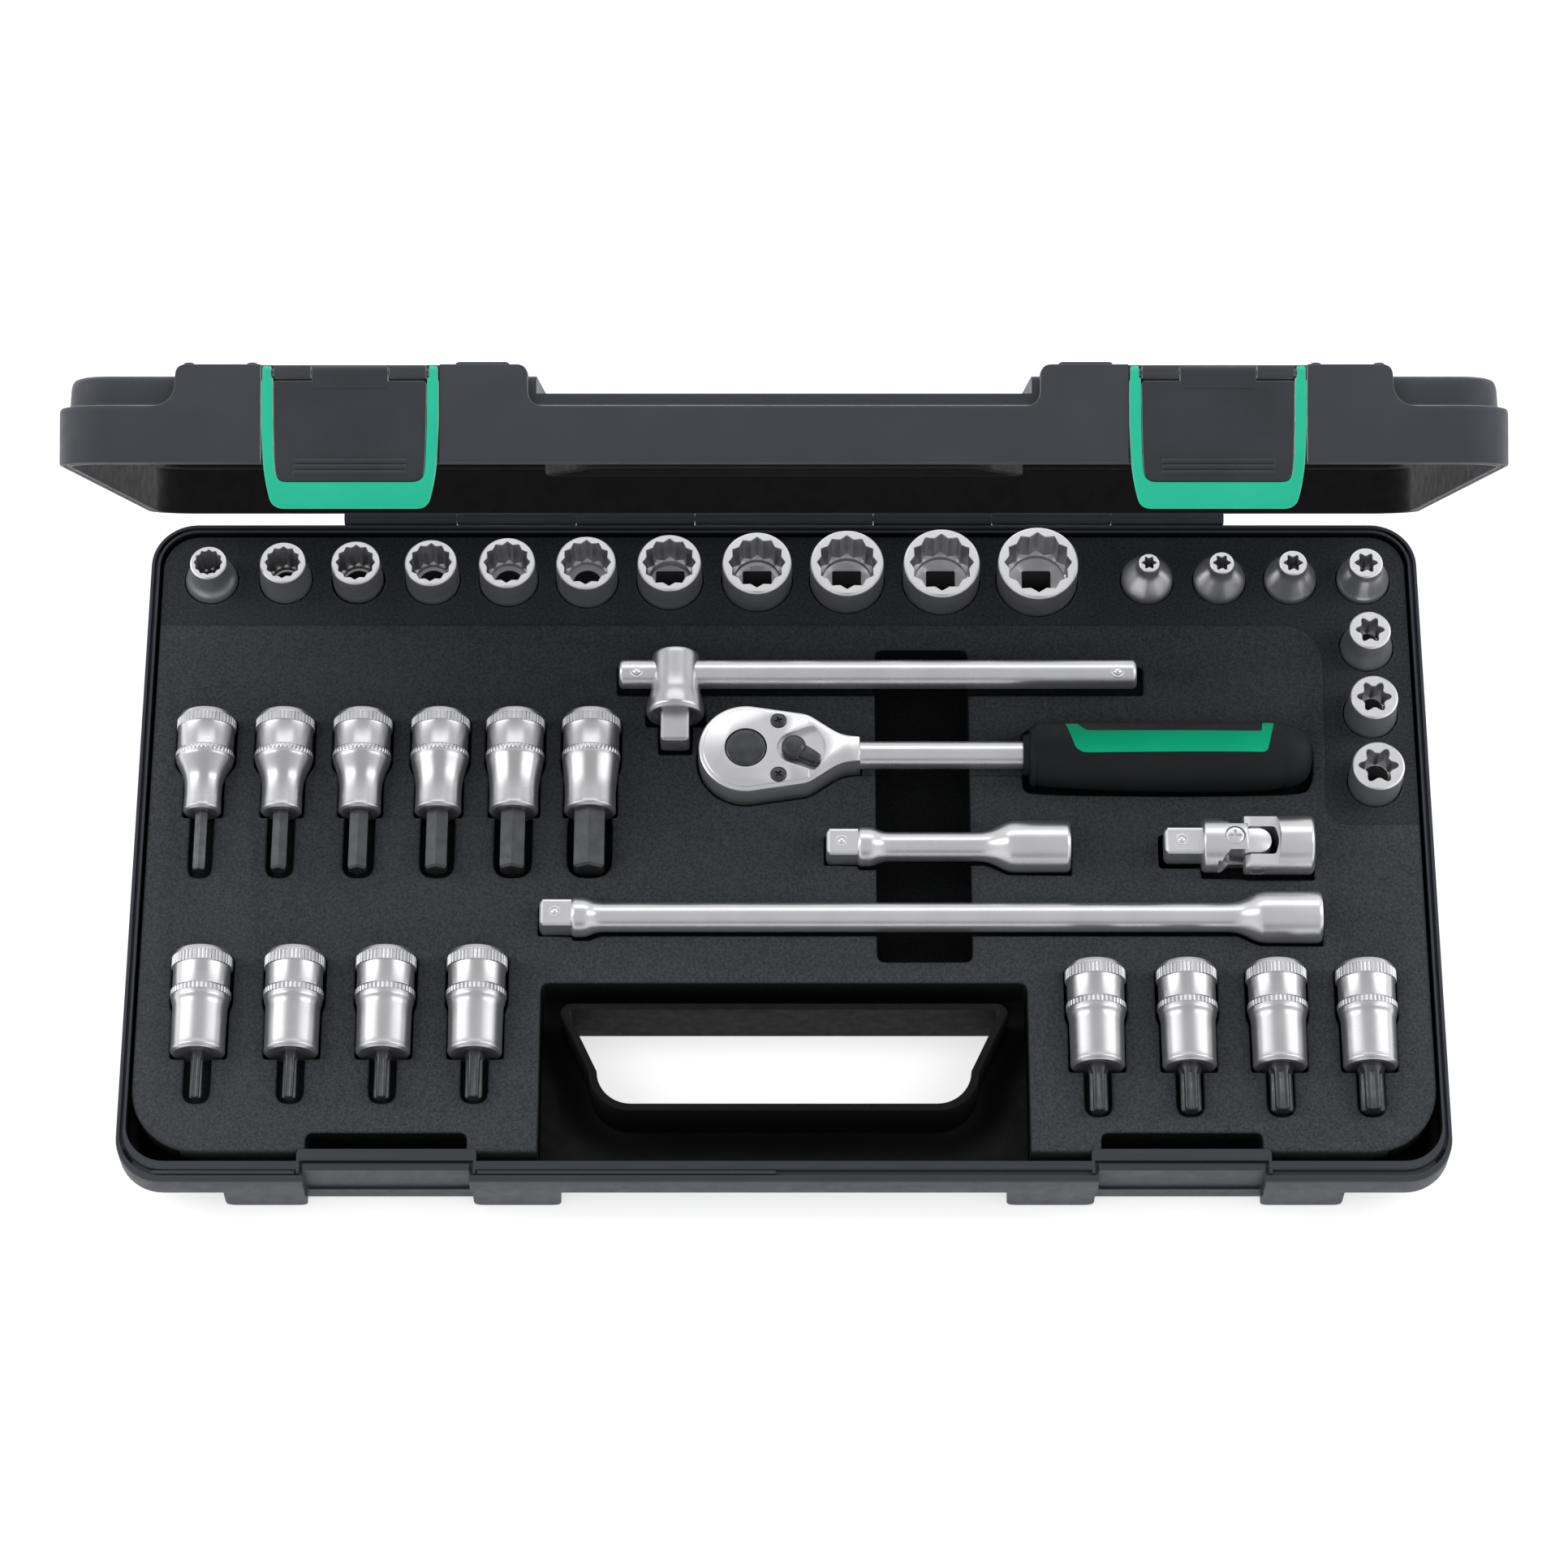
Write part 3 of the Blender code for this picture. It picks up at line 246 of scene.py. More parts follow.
dark_bore = Shader("bore_steel", (0.58, 0.58, 0.59), 0.38, 0.8)
dark_bore.gloss(dark_bore.span(dark_bore.noise(300, 4), 0.3, 0.48))
dark_bore.bump((dark_bore.noise(60, 3, 0.6, (1, 1, 40)), 0.05, 0.00002))
BORE = dark_bore.mat

black = Shader("black_oxide", (0.075, 0.077, 0.08), 0.36, 0.75)
black.paint(black.mix(black.span(black.noise(240, 4, 0.6), 0.0, 1.0), (0.060, 0.062, 0.065), (0.095, 0.097, 0.10)))
black.gloss(black.span(black.noise(500, 4), 0.30, 0.46))
black.bump((black.noise(900, 3, 0.6), 0.2, 0.00002))
BLACK = black.mat

rod = Shader("hinge_steel", (0.10, 0.10, 0.105), 0.42, 0.9)
rod.gloss(rod.span(rod.noise(60, 4, 0.6, (60, 1, 1)), 0.28, 0.45))
rod.bump((rod.noise(60, 3, 0.6, (60, 1, 1)), 0.2, 0.00002))
ROD = rod.mat


# -------------------------------------------------------------- plan outlines
def round_path(points, radii, closed=True, steps=5, share=0.48):
    """Rounds the corners of a path of vectors; radii is one number or a list."""
    n = len(points)
    points = [Vector(p) for p in points]
    if not hasattr(radii, "__len__"):
        radii = [radii] * n
    out = []
    for i, p in enumerate(points):
        r = radii[i]
        if r <= 0 or (not closed and i in (0, n - 1)):
            out.append(p)
            continue
        a, b = points[i - 1] - p, points[(i + 1) % n] - p
        ra, rb = min(r, a.length * share), min(r, b.length * share)
        s, e = p + a.normalized() * ra, p + b.normalized() * rb
        for k in range(steps + 1):
            t = k / steps
            out.append(s * (1 - t) ** 2 + p * (2 * t * (1 - t)) + e * t * t)
    return [tuple(p) for p in out]


def ccw(points):
    area = sum(a[0] * b[1] - b[0] * a[1] for a, b in zip(points, points[1:] + points[:1]))
    return points if area > 0 else points[::-1]


def grown(points, d):
    """A counter-clockwise outline moved outward by d."""
    out, n = [], len(points)
    for i in range(n):
        x0, y0 = points[i - 1]
        x1, y1 = points[i]
        x2, y2 = points[(i + 1) % n]
        ax, ay, bx, by = x1 - x0, y1 - y0, x2 - x1, y2 - y1
        la, lb = math.hypot(ax, ay) or 1e-9, math.hypot(bx, by) or 1e-9
        nx, ny = ay / la + by / lb, -ax / la - bx / lb
        k = max(nx * nx + ny * ny, 0.6)
        out.append((x1 + 2 * d * nx / k, y1 + 2 * d * ny / k))
    return out


def rounded(x0, x1, y0, y1, radii, steps=8):
    if not hasattr(radii, "__len__"):
        radii = (radii,) * 4
    points = []
    for corner, (cx, sx, cy, sy) in enumerate(
        ((x1, -1, y1, -1), (x0, 1, y1, -1), (x0, 1, y0, 1), (x1, -1, y0, 1))
    ):
        r = radii[corner]
        for k in range(steps + 1):
            a = (corner + k / steps) * pi / 2
            points.append((cx + sx * r + r * cos(a), cy + sy * r + r * sin(a)))
    return points


def circle(cx, cy, r, n=64, phase=0.0):
    return [(cx + r * cos(phase + 2 * pi * k / n), cy + r * sin(phase + 2 * pi * k / n)) for k in range(n)]


def handle_outline(grow, steps=10):
    far, near = GRIP_FAR_Y + grow, GRIP_NEAR_Y - grow
    slope = (GRIP_FAR_HALF - GRIP_NEAR_HALF) / (GRIP_FAR_Y - GRIP_NEAR_Y)
    side = grow * sqrt(1 + slope * slope)

    def half(y):
        return GRIP_NEAR_HALF + slope * (y - GRIP_NEAR_Y) + side

    r_far, r_near = min(1.2 + grow, 30), 11.0 + grow
    right = []
    for y, r, sign in ((near, r_near, 1), (far, r_far, -1)):
        cy = y + sign * r
        cx = half(cy) - r * 1.02
        a0, a1 = ((-pi / 2, 0.0) if sign > 0 else (0.0, pi / 2))
        for k in range(steps + 1):
            a = a0 + (a1 - a0) * k / steps
            right.append((cx + r * cos(a), cy + r * sin(a)))
    left = [(-x, y) for x, y in reversed(right)]
    return right + left


# ----------------------------------------------------------------- mesh forms
def loft(rings, loop=False):
    bm = bmesh.new()
    rows = [[bm.verts.new(p) for p in ring] for ring in rings]
    count = len(rows[0])
    pairs = list(zip(rows, rows[1:])) + ([(rows[-1], rows[0])] if loop else [])
    for a, b in pairs:
        for i in range(count):
            j = (i + 1) % count
            bm.faces.new((a[i], a[j], b[j], b[i]))
    if not loop:
        bm.faces.new(rows[0][::-1])
        bm.faces.new(rows[-1])
    if bm.calc_volume(signed=True) < 0:
        bmesh.ops.reverse_faces(bm, faces=bm.faces[:])
    return bm


def block(x0, x1, y0, y1, z0, z1):
    corners = [(x0, y0), (x1, y0), (x1, y1), (x0, y1)]
    return loft([[(x, y, z) for x, y in corners] for z in (z0, z1)])


def prism(outline, z0, z1, edge=0.0, foot=0.0):
    """Upright prism; edge rounds its top outline and foot its bottom outline."""
    rings = []
    if foot:
        rings += [(-foot, z0), (-foot * 0.3, z0 + foot * 0.3), (0, z0 + foot)]
    else:
        rings.append((0, z0))
    if edge:
        rings += [(0, z1 - edge), (-edge * 0.3, z1 - edge * 0.3), (-edge, z1)]
    else:
        rings.append((0, z1))
    return loft([[(x, y, z) for x, y in (grown(outline, g) if g else outline)] for g, z in rings])


def prism_y(outline, y0, y1, edge=0.0):
    """A prism along Y over an outline of (x, z) points, its edges rounded."""
    outline = ccw(list(outline))
    rings = [(-edge, y0), (-edge * 0.3, y0 + edge * 0.3), (0, y0 + edge), (0, y1 - edge), (-edge * 0.3, y1 - edge * 0.3), (-edge, y1)] if edge else [(0, y0), (0, y1)]
    return loft([[(x, y, z) for x, z in (grown(outline, g) if g else outline)] for g, y in rings])


def prism_x(outline, x0, x1, edge=0.0):
    outline = ccw(list(outline))
    rings = [(-edge, x0), (-edge * 0.3, x0 + edge * 0.3), (0, x0 + edge), (0, x1 - edge), (-edge * 0.3, x1 - edge * 0.3), (-edge, x1)] if edge else [(0, x0), (0, x1)]
    return loft([[(x, y, z) for y, z in (grown(outline, g) if g else outline)] for g, x in rings])


def ring_radii(kind, n, phase):
    """A number is a circle; tuples name squares, hexagons, stars and knurls."""
    if isinstance(kind, (int, float)):
        return [kind] * n
    out = []
    for k in range(n):
        a = phase + 2 * pi * k / n
        if kind[0] == "square":                     # side, corner radius
            half, c = kind[1] / 2, kind[2]
            b = abs((a + pi / 4) % (pi / 2) - pi / 4)
            r = half / cos(b)
            if half * math.tan(b) > half - c and c > 0:
                q = half - c
                proj = q * cos(b) + q * sin(b)
                r = proj + sqrt(max(proj * proj - 2 * q * q + c * c, 0))
            out.append(r)
        elif kind[0] == "hex":                      # across flats, cut-off corner
            b = abs((a + pi / 6) % (pi / 3) - pi / 6)
            out.append(min(kind[1] / 2 / cos(b), kind[1] / 2 / cos(pi / 6) * 0.985))
        elif kind[0] == "star":                     # 12 points: peak, valley
            peak, valley = kind[1], kind[2]
            t = (a % (pi / 6)) / (pi / 12)
            if t > 1:
                t = 2 - t
            x0, y0 = peak, 0.0
            x1, y1 = valley * cos(pi / 12), valley * sin(pi / 12)
            b = t * pi / 12
            den = (x1 - x0) * sin(b) - (y1 - y0) * cos(b)
            out.append((y0 * (x1 - x0) - x0 * (y1 - y0)) / den if abs(den) > 1e-9 else peak)
        elif kind[0] == "lobe":                     # six lobes: peak, valley, sharpness
            out.append(kind[2] + (kind[1] - kind[2]) * (0.5 + 0.5 * cos(6 * a)) ** kind[3])
        elif kind[0] == "knurl":                    # radius, depth
            out.append(kind[1] - kind[2] * (0.0, 0.75, 0.75)[k % 3])
        elif kind[0] == "flat":                     # radius, half width across the milled flats
            out.append(min(kind[1], kind[2] / max(abs(sin(a)), 1e-6)))
    return out


def turned(profile, centre, axis, n=FINE, phase=0.0, loop=False):
    axis = Vector(axis)
    if abs(axis.z) > 0.5:
        u, v = Vector((1, 0, 0)), Vector((0, 1, 0))
    elif abs(axis.y) > 0.5:
        u, v = Vector((1, 0, 0)), Vector((0, 0, 1))
    else:
        u, v = Vector((0, 1, 0)), Vector((0, 0, 1))
    rings = []
    for h, kind in profile:
        radii = ring_radii(kind, n, phase)
        rings.append([
            Vector(centre) + axis * h + (u * cos(phase + 2 * pi * k / n) + v * sin(phase + 2 * pi * k / n)) * radii[k]
            for k in range(n)
        ])
    return loft(rings, loop)


def soft_profile(points, radii, steps=4):
    """Rounds the corners of an open (height, radius) profile of plain circles."""
    return [(p[0], p[1]) for p in round_path([(h, r, 0) for h, r in points], radii, closed=False, steps=steps)]


def detent(centre, normal, r=1.35, ring=2.3):
    """A sprung ball standing in a shallow ring."""
    shapes = [turned([(-0.6, ring), (0.10, ring), (0.16, ring - 0.25), (0.10, ring - 0.5), (-0.35, ring - 0.7), (-0.4, 0.3)], centre, normal, 32)]
    ball = [(-0.5, 0.4)] + [(r * 0.62 * sin(t) + 0.0, max(r * cos(t), 0.02)) for t in [radians(a) for a in (0, 20, 40, 58, 74, 88)]]
    shapes.append(turned(ball, centre, normal, 32))
    return shapes


def mesh_of(name, shapes, scale=0.001):
    """Joins bmeshes in millimetres into one mesh in metres."""
    whole = bmesh.new()
    for shape in shapes:
        part = bpy.data.meshes.new("part")
        shape.to_mesh(part)
        shape.free()
        whole.from_mesh(part)
        bpy.data.meshes.remove(part)
    bmesh.ops.scale(whole, verts=whole.verts, vec=(scale,) * 3)
    mesh = bpy.data.meshes.new(name)
    whole.to_mesh(mesh)
    whole.free()
    return mesh


def piece(name, shapes, mat, body, nodes=(), turn=None, unions=(), cuts=(), more_unions=(), more_cuts=(), clip=(), stages=(), extra=(), angle=30):
    """Makes one visual piece: shapes joined, cut and placed, then hung on a body."""
    obj = bpy.data.objects.new(name, mesh_of(name, list(shapes)))
    SCENE.objects.link(obj)
    spare = []
    steps = [("UNION", unions), ("DIFFERENCE", cuts), ("UNION", more_unions), ("DIFFERENCE", more_cuts), ("INTERSECT", clip)]
    for k, (operation, group) in enumerate(steps + [("DIFFERENCE", group) for group in stages]):
        if not group:
            continue
        holder = bpy.data.collections.new(f"{name}_cut_{k}")
        SCENE.children.link(holder)
        for i, shape in enumerate(group):
            tool = bpy.data.objects.new(f"{name}_cut_{k}_{i}", mesh_of("cut", [shape]))
            holder.objects.link(tool)
            spare.append(tool)
        spare.append(holder)
        mod = obj.modifiers.new(operation, "BOOLEAN")
        mod.solver = "MANIFOLD"
        mod.operation = operation
        mod.operand_type = "COLLECTION"
        mod.collection = holder
    if obj.modifiers:
        bpy.context.view_layer.update()
        done = bpy.data.meshes.new_from_object(obj.evaluated_get(bpy.context.evaluated_depsgraph_get()))
        obj.modifiers.clear()
        obj.data = done
    for item in spare:
        if isinstance(item, bpy.types.Collection):
            bpy.data.collections.remove(item)
        else:
            bpy.data.objects.remove(item, do_unlink=True)
    if extra:
        joined = bmesh.new()
        joined.from_mesh(obj.data)
        joined.from_mesh(mesh_of("extra", list(extra)))
        joined.to_mesh(obj.data)
        joined.free()
    if turn is not None:
        obj.data.transform(Matrix.Scale(0.001, 4) @ turn @ Matrix.Scale(1000, 4))
    obj.data.materials.clear()
    obj.data.materials.append(mat)
    for polygon in obj.data.polygons:
        polygon.material_index = 0
    obj.data.shade_smooth()
    obj.data.set_sharp_from_angle(angle=radians(angle))
    obj.data.name = name
    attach(obj, body)
    if nodes:
        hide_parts(*nodes)
    return obj


# ------------------------------------------------------------------ case base
def case_rings(path, radii, corner=None):
    """Rings from (inset, z, front y) triples, the path's corners rounded."""
    rings = []
    for inset, z, front in round_path(path, radii, closed=False, steps=4):
        r = max((corner or CORNER_R) - inset * 0.8, 3.0)
        rings.append([(x, y, z) for x, y in rounded(-HW + inset, HW - inset, front, HD - inset, r, 12)])
    return rings


def out(inset):
    return -HD + inset


base_path = [
    (10.0, WALL, -105.5), (7.3, 5.5, -107.8), (5.8, 14.6, -108.6), (3.0, 15.2, -110.3), (3.0, BASE_H, -110.3),
    (2.2, BASE_H, -113.2), (2.1, BASE_H - 1.6, -113.4), (1.3, BASE_H - 1.6, -114.9), (1.2, BASE_H, -115.1),
    (0.0, BASE_H, out(0)), (0.0, 13.2, out(0)), (3.0, 12.0, out(3)), (5.0, 3.4, out(5)), (8.4, 0.0, out(8.4)),
]
base_radii = [0, 2.5, 1.5, 0.8, 0.35, 0.3, 0.2, 0.2, 0.3, 1.0, 1.1, 1.2, 3.2, 0]
adds = [prism(handle_outline(COLLAR_T), 1.0, BASE_H - 1.5, 0.9)]
grooves = []
for side in (-1, 1):
    for a, b in ((71.0, 98.9), (151.8, 178.0)):
        shape = round_path([(min(side * a, side * b), 2.6), (max(side * a, side * b), 2.6), (max(side * a, side * b), 20.0), (min(side * a, side * b), 20.0)], [3.0, 3.0, 0, 0])
        adds.append(prism_y(shape, -HD + 0.01, -109.5, 0.0))
    x0, x1 = sorted((side * 97.4, side * 154.4))
    adds.append(prism(rounded(x0, x1, -114.6, -106.2, (1.6, 1.6, 0.3, 0.3), 4), 3.2, BASE_H, 0.35))
    x0, x1 = sorted((side * 98.4, side * 153.4))
    grooves.append(block(x0, x1, -111.4, -110.2, BASE_H - 1.6, BASE_H + 3))
    for a in (98.4, 152.2):
        u0, u1 = sorted((side * a, side * (a + 1.2)))
        grooves.append(block(u0, u1, -115.0, -110.2, BASE_H - 1.6, BASE_H + 3))
holes = [prism(handle_outline(0.0), -2.0, BASE_H + 2.0)]
for side in (-1, 1):
    x0, x1 = sorted((side * (LATCH_X - 26.4), side * (LATCH_X + 26.4)))
    holes.append(prism_y(round_path([(x0, 9.5), (x1, 9.5), (x1, 30), (x0, 30)], [2.0, 2.0, 0, 0]), -HD - 4, -113.6))
edges = [-HINGE_HALF, -110.0, -70.0, -30.0, 30.0, 70.0, 110.0, HINGE_HALF]
KNUCKLES = [(x0 + 0.06, x1 - 0.06, "base" if i % 2 == 0 else "lid") for i, (x0, x1) in enumerate(zip(edges, edges[1:]))]


def knuckle(x0, x1, z0, z1):
    barrel = prism_x(circle(HINGE_Y, HINGE_Z, KNUCKLE_R, 32), x0, x1, 0.35)
    web = block(x0 + 0.35, x1 - 0.35, HD - 1.3, HINGE_Y, z0, z1)
    return [barrel, web]


knuckles = [s for x0, x1, who in KNUCKLES if who == "base" for s in knuckle(x0, x1, HINGE_Z - 2.3, HINGE_Z - 0.4)]
rod_bore = prism_x(circle(HINGE_Y, HINGE_Z, ROD_R + 0.05, 24), -HINGE_HALF - 3, HINGE_HALF + 3)
piece(
    "case_base_shell", [loft(case_rings(base_path, base_radii))], CASE, "case_base", ["base_shell"],
    unions=adds + knuckles, cuts=holes + grooves + [rod_bore],
)
# the floor rises away from the handle's collar in one smooth pan, given the near-black inside plastic as painted shade
steps = [(2.52, 3.3), (4.0, 3.3), (6.0, 3.9), (8.0, 5.2), (10.0, 6.9), (12.0, 8.4), (14.0, 9.5), (17.0, 10.3), (22.0, 10.8), (34.0, 10.9)]
rings = [[(x, y, z) for x, y in handle_outline(g)] for g, z in steps]
rings += [[(x, y, 1.5) for x, y in handle_outline(34.0)], [(x, y, 1.5) for x, y in handle_outline(2.52)]]
piece("case_handle_pan", [loft(rings, loop=True)], CASE_IN_PAINTED_SHADE, "case_base", (), clip=[block(-78.0, 78.0, -110.4, -48.0, 0.5, 14.0)], angle=40)

# the locating tongue stands on the left half of the front rim
piece(
    "case_rim_tongue",
    [prism(rounded(-200.0, -2.5, -114.75, -113.55, 0.5, 4), BASE_H - 1.8, BASE_H + 0.15, 0.25),
     ],
    CASE, "case_base", (),
    cuts=[block(-154.8, -97.0, -118, -110, 15, 30)],
)
piece("case_hinge_rod", [prism_x(circle(HINGE_Y, HINGE_Z, ROD_R, 32), -HINGE_HALF + 0.6, HINGE_HALF - 0.6, 0.2)], ROD, "case_base", ["hinge_rod"])

# ------------------------------------------------------------------ foam tray
LIP = ((0.0, -0.9), (0.10, -0.45), (0.32, -0.16), (0.75, 0.03), (1.0, 0.10))


def pocket(points, floor, radius=1.0, top=FOAM_TOP):
    """A cutter whose mouth is eased where it meets the foam's top."""
    points = [(p[0], p[1]) for p in round_path([(x, y, 0) for x, y in ccw(points)], radius)]
    rings = [[(x, y, floor) for x, y in points]]
    for grow, dz in LIP:
        rings.append([(x, y, top + dz) for x, y in grown(points, grow)])
    rings.append([(x, y, 42.0) for x, y in grown(points, LIP[-1][0])])
    return loft(rings)


def round_pocket(x, y, r, floor, top=FOAM_TOP, n=72):
    rings = [[(a, b, floor) for a, b in circle(x, y, r, n)]]
    for grow, dz in LIP:
        rings.append([(a, b, top + dz) for a, b in circle(x, y, r + grow, n)])
    rings.append([(a, b, 42.0) for a, b in circle(x, y, r + LIP[-1][0], n)])
    return loft(rings)


def along_y(x, y, profile):
    """Outline of a tool lying towards -Y from (h, half width) pairs."""
    return [(x + w, y - h) for h, w in profile] + [(x - w, y - h) for h, w in reversed(profile)]


def along_x(x, y, profile):
    return [(x + h, y + w) for h, w in profile] + [(x + h, y - w) for h, w in reversed(profile)]


def ratchet_outline(grow, steps=28):
    """Pear-shaped outline of the ratchet's head, running into its shaft."""
    right = []
    r = R_HEAD_R
    start = radians(82)
    for k in range(steps + 1):
        a = pi - (pi - start) * k / steps
        right.append((R_HEAD_X + r * cos(a), r * sin(a)))
    tail = round_path([(right[-1][0], right[-1][1], 0), (8.0, 12.6, 0), (18.6, 5.2, 0), (25.0, 4.5, 0)], [0, 2.2, 4.0, 0], closed=False, steps=5)
    right += [(p[0], p[1]) for p in tail[1:]]
    points = [(x, R_Y + w) for x, w in right] + [(x, R_Y - w) for x, w in reversed(right[1:])]
    points = ccw(points)
    return grown(points, grow) if grow else points


STRIP_TOP = FOAM_TOP - 0.6
strip = [(-230, 80.0), (171.3, 80.0), (179.0, 71.5), (177.2, 12.0), (181.2, 7.0), (230, 7.0), (230, 130), (-230, 130)]
strip = [(p[0], p[1]) for p in round_path([(x, y, 0) for x, y in strip], [0, 7.0, 7.0, 4.0, 4.0, 0, 0, 0], steps=6)]
strip = ccw(strip)
strip_cut = loft([[(x, y, z) for x, y in (grown(strip, g) if g else strip)] for g, z in ((0, STRIP_TOP), (0.12, STRIP_TOP + 0.3), (0.5, FOAM_TOP + 0.02), (0.5, 42.0))])
tray_rings = []
for inset, z, front, r in (
    (10.8, 3.1, -104.9, 8), (7.8, 5.9, -106.4, 9), (6.4, 14.2, -106.9, 10), (5.6, 14.9, -106.9, 11), (4.0, 15.5, -106.9, 12),
    (4.0, FOAM_TOP - 1.4, -106.9, 12), (4.15, FOAM_TOP - 0.7, -106.75, 12), (4.6, FOAM_TOP - 0.2, -106.3, 12), (5.4, FOAM_TOP, -105.5, 12),
):
    tray_rings.append([(x, y, z) for x, y in rounded(-HW + inset, HW - inset, front, HD - inset, (r, r, 22.0, 22.0), 12)])
frame_cuts = [pocket([(-78.4, -125.0), (78.4, -125.0), (78.4, -48.9), (-78.4, -48.9)], -2.0, 3.0)]
finger_cuts = [pocket([(FINGER[0], FINGER[2]), (FINGER[1], FINGER[2]), (FINGER[1], FINGER[3]), (FINGER[0], FINGER[3])], 6.0, 3.0)]
for side in (-1, 1):
    x0, x1 = sorted((side * 100.6, side * 152.0))
    frame_cuts.append(pocket([(x0, -125.0), (x1, -125.0), (x1, -100.4), (x0, -100.4)], -2.0, 2.5))
pockets, deeper = [], []


def foot_radius(od):
    if od < DRIVE_END_D:
        return DRIVE_END_D / 2
    return od / 2 - (0.0 if od < 22.0 else 2.0)


for size, x, od in SOCKETS:
    r = max(foot_radius(od), od / 2)
    pockets.append(round_pocket(x, SOCKET_ROW_Y, r + 0.35, SOCKET_FOOT + 8.4 if od > 22 else SOCKET_FOOT - 0.3, STRIP_TOP))
    if od > 22:
        deeper.append(prism(circle(x, SOCKET_ROW_Y, foot_radius(od) + 0.3, 72), SOCKET_FOOT - 0.3, 20.0))
for size, x, y, od, bore in LOBE_SOCKETS:
    pockets.append(round_pocket(x, y, DRIVE_END_D / 2 + 0.35, SOCKET_FOOT - 0.3, STRIP_TOP))
for size, x, neck in HEX_BITS:
    n = neck / 2 + 0.25
    pockets.append(pocket(along_y(x, HEX_Y, [(-0.5, 8.4), (0.9, HEX_HEAD_R + 0.3), (HEX_HEAD_L, HEX_HEAD_R + 0.3), (HEX_SHOULDER_L + 0.5, n + 0.2), (HEX_NECK_L + 0.5, n + 0.3)]), 14.8, 1.2))
    w = size * 0.5775 + 1.5
    deeper.append(pocket(along_y(x, HEX_Y, [(HEX_NECK_L - 3.0, w), (HEX_BIT_L + 1.6, w)]), LYING_Z - w - 1.2, w * 0.9))
for size, x, y, d in STAR_BITS:
    pockets.append(pocket(along_y(x, y, [(-0.5, 8.6), (0.9, STAR_HEAD_R + 0.3), (STAR_KNURL_L + 1.0, STAR_HEAD_R + 0.3), (STAR_KNURL_L + 3.5, STAR_BODY_R + 0.35), (STAR_HEAD_L + 0.6, STAR_BODY_R + 0.35)]), 14.7, 1.2))
    deeper.append(pocket(along_y(x, y, [(STAR_HEAD_L - 3.0, 4.3), (STAR_BIT_L + 1.0, 4.3)]), LYING_Z - 5.2, 4.2))
pockets.append(pocket(along_y(T_HEAD_X, T_HEAD_Y0, [(-0.5, 8.0), (14.0, 8.4), (19.0, 9.9), (24.0, 10.0)]), T_Z - 10.2, 1.4))
deeper.append(pocket(along_y(T_HEAD_X, T_HEAD_Y1, [(-2.0, 5.6), (11.4, 5.6)]), T_Z - 10.2, 1.0))
finger_cuts_2 = [pocket(along_x(T_BAR_X0, T_Y, [(-0.8, 5.2), (T_BAR_X1 - T_BAR_X0 + 2.6, 5.2)]), 19.5, 1.2)]
pockets.append(pocket(ratchet_outline(0.7), R_BOTTOM - 0.5, 0.0))
deeper.append(prism(circle(R_HEAD_X, R_Y, 7.9, 48), 8.3, 40.0))
deeper.append(pocket([(18.0, R_Y - 5.2), (GRIP_X0 + 1, R_Y - 5.2), (GRIP_X0 + 1, R_Y + 5.2), (18.0, R_Y + 5.2)], R_SHAFT_Z - 5.2, 0.5))
pockets.append(pocket([(GRIP_X0 - 2.2, GRIP_Y - 11.0), (GRIP_X0 + 8, GRIP_Y - 11.9), (130, GRIP_Y - 12.5), (GRIP_X1 - 8, GRIP_Y - 11.9), (GRIP_X1 + 0.8, GRIP_Y - 10.5), (GRIP_X1 + 0.8, GRIP_Y + 11.7), (GRIP_X0 - 2.2, GRIP_Y + 11.7)], R_SHAFT_Z - 12.6, [3, 6, 20, 6, 9, 9, 3]))
for name, x0, length, y in EXTENSIONS:
    pockets.append(pocket(along_x(x0, y, [(-0.7, 5.2), (10.4, 5.4), (10.6, 6.8), (16.0, 6.8), (19.5, 5.2), (length - 27.0, 5.2), (length - 20.0, 8.6), (length + 0.7, 8.8)]), EXT_Z - 9.0, 0.8))
pockets.append(pocket(along_x(UJ_X0, UJ_Y, [(-0.8, 5.3), (12.2, 5.3), (12.4, 9.3), (26.0, 9.5), (27.0, 9.9), (49.2, 9.9)]), UJ_Z - 10.2, 0.8))
piece(
    "foam_tool_tray", [loft(tray_rings)], FOAM, "case_base", ["tool_tray"], stages=[[strip_cut], frame_cuts, pockets, deeper, finger_cuts, finger_cuts_2], angle=38,
)

# ------------------------------------------------------------------------ lid
RIM, TOP = BASE_H + PART_GAP, BASE_H + LID_H
BOSS_TOP, PLATE_TOP = BASE_H + BOSS_H, BASE_H + CENTRE_H
lid_path = [
    (9.0, TOP - WALL, -106.0), (5.8, TOP - 5.4, -109.6), (5.2, 39.5, -110.3), (3.0, 38.9, -110.3), (3.0, RIM, -110.3),
    (2.1, RIM, -113.2), (2.0, RIM + 1.2, -113.4), (1.3, RIM + 1.2, -114.9), (1.2, RIM, -115.1),
    (0.0, RIM, out(0)), (0.0, 40.9, out(0)), (3.0, 41.3, out(3)), (3.4, TOP - 1.0, out(3.4)), (6.4, TOP, out(6.4)),
]
lid_radii = [0, 3.0, 1.0, 1.0, 0.35, 0.3, 0.2, 0.2, 0.3, 0.9, 1.4, 0.9, 3.4, 0]
boss_faces, boss_tops, lid_cuts, lugs, bits = [], [], [], [], []
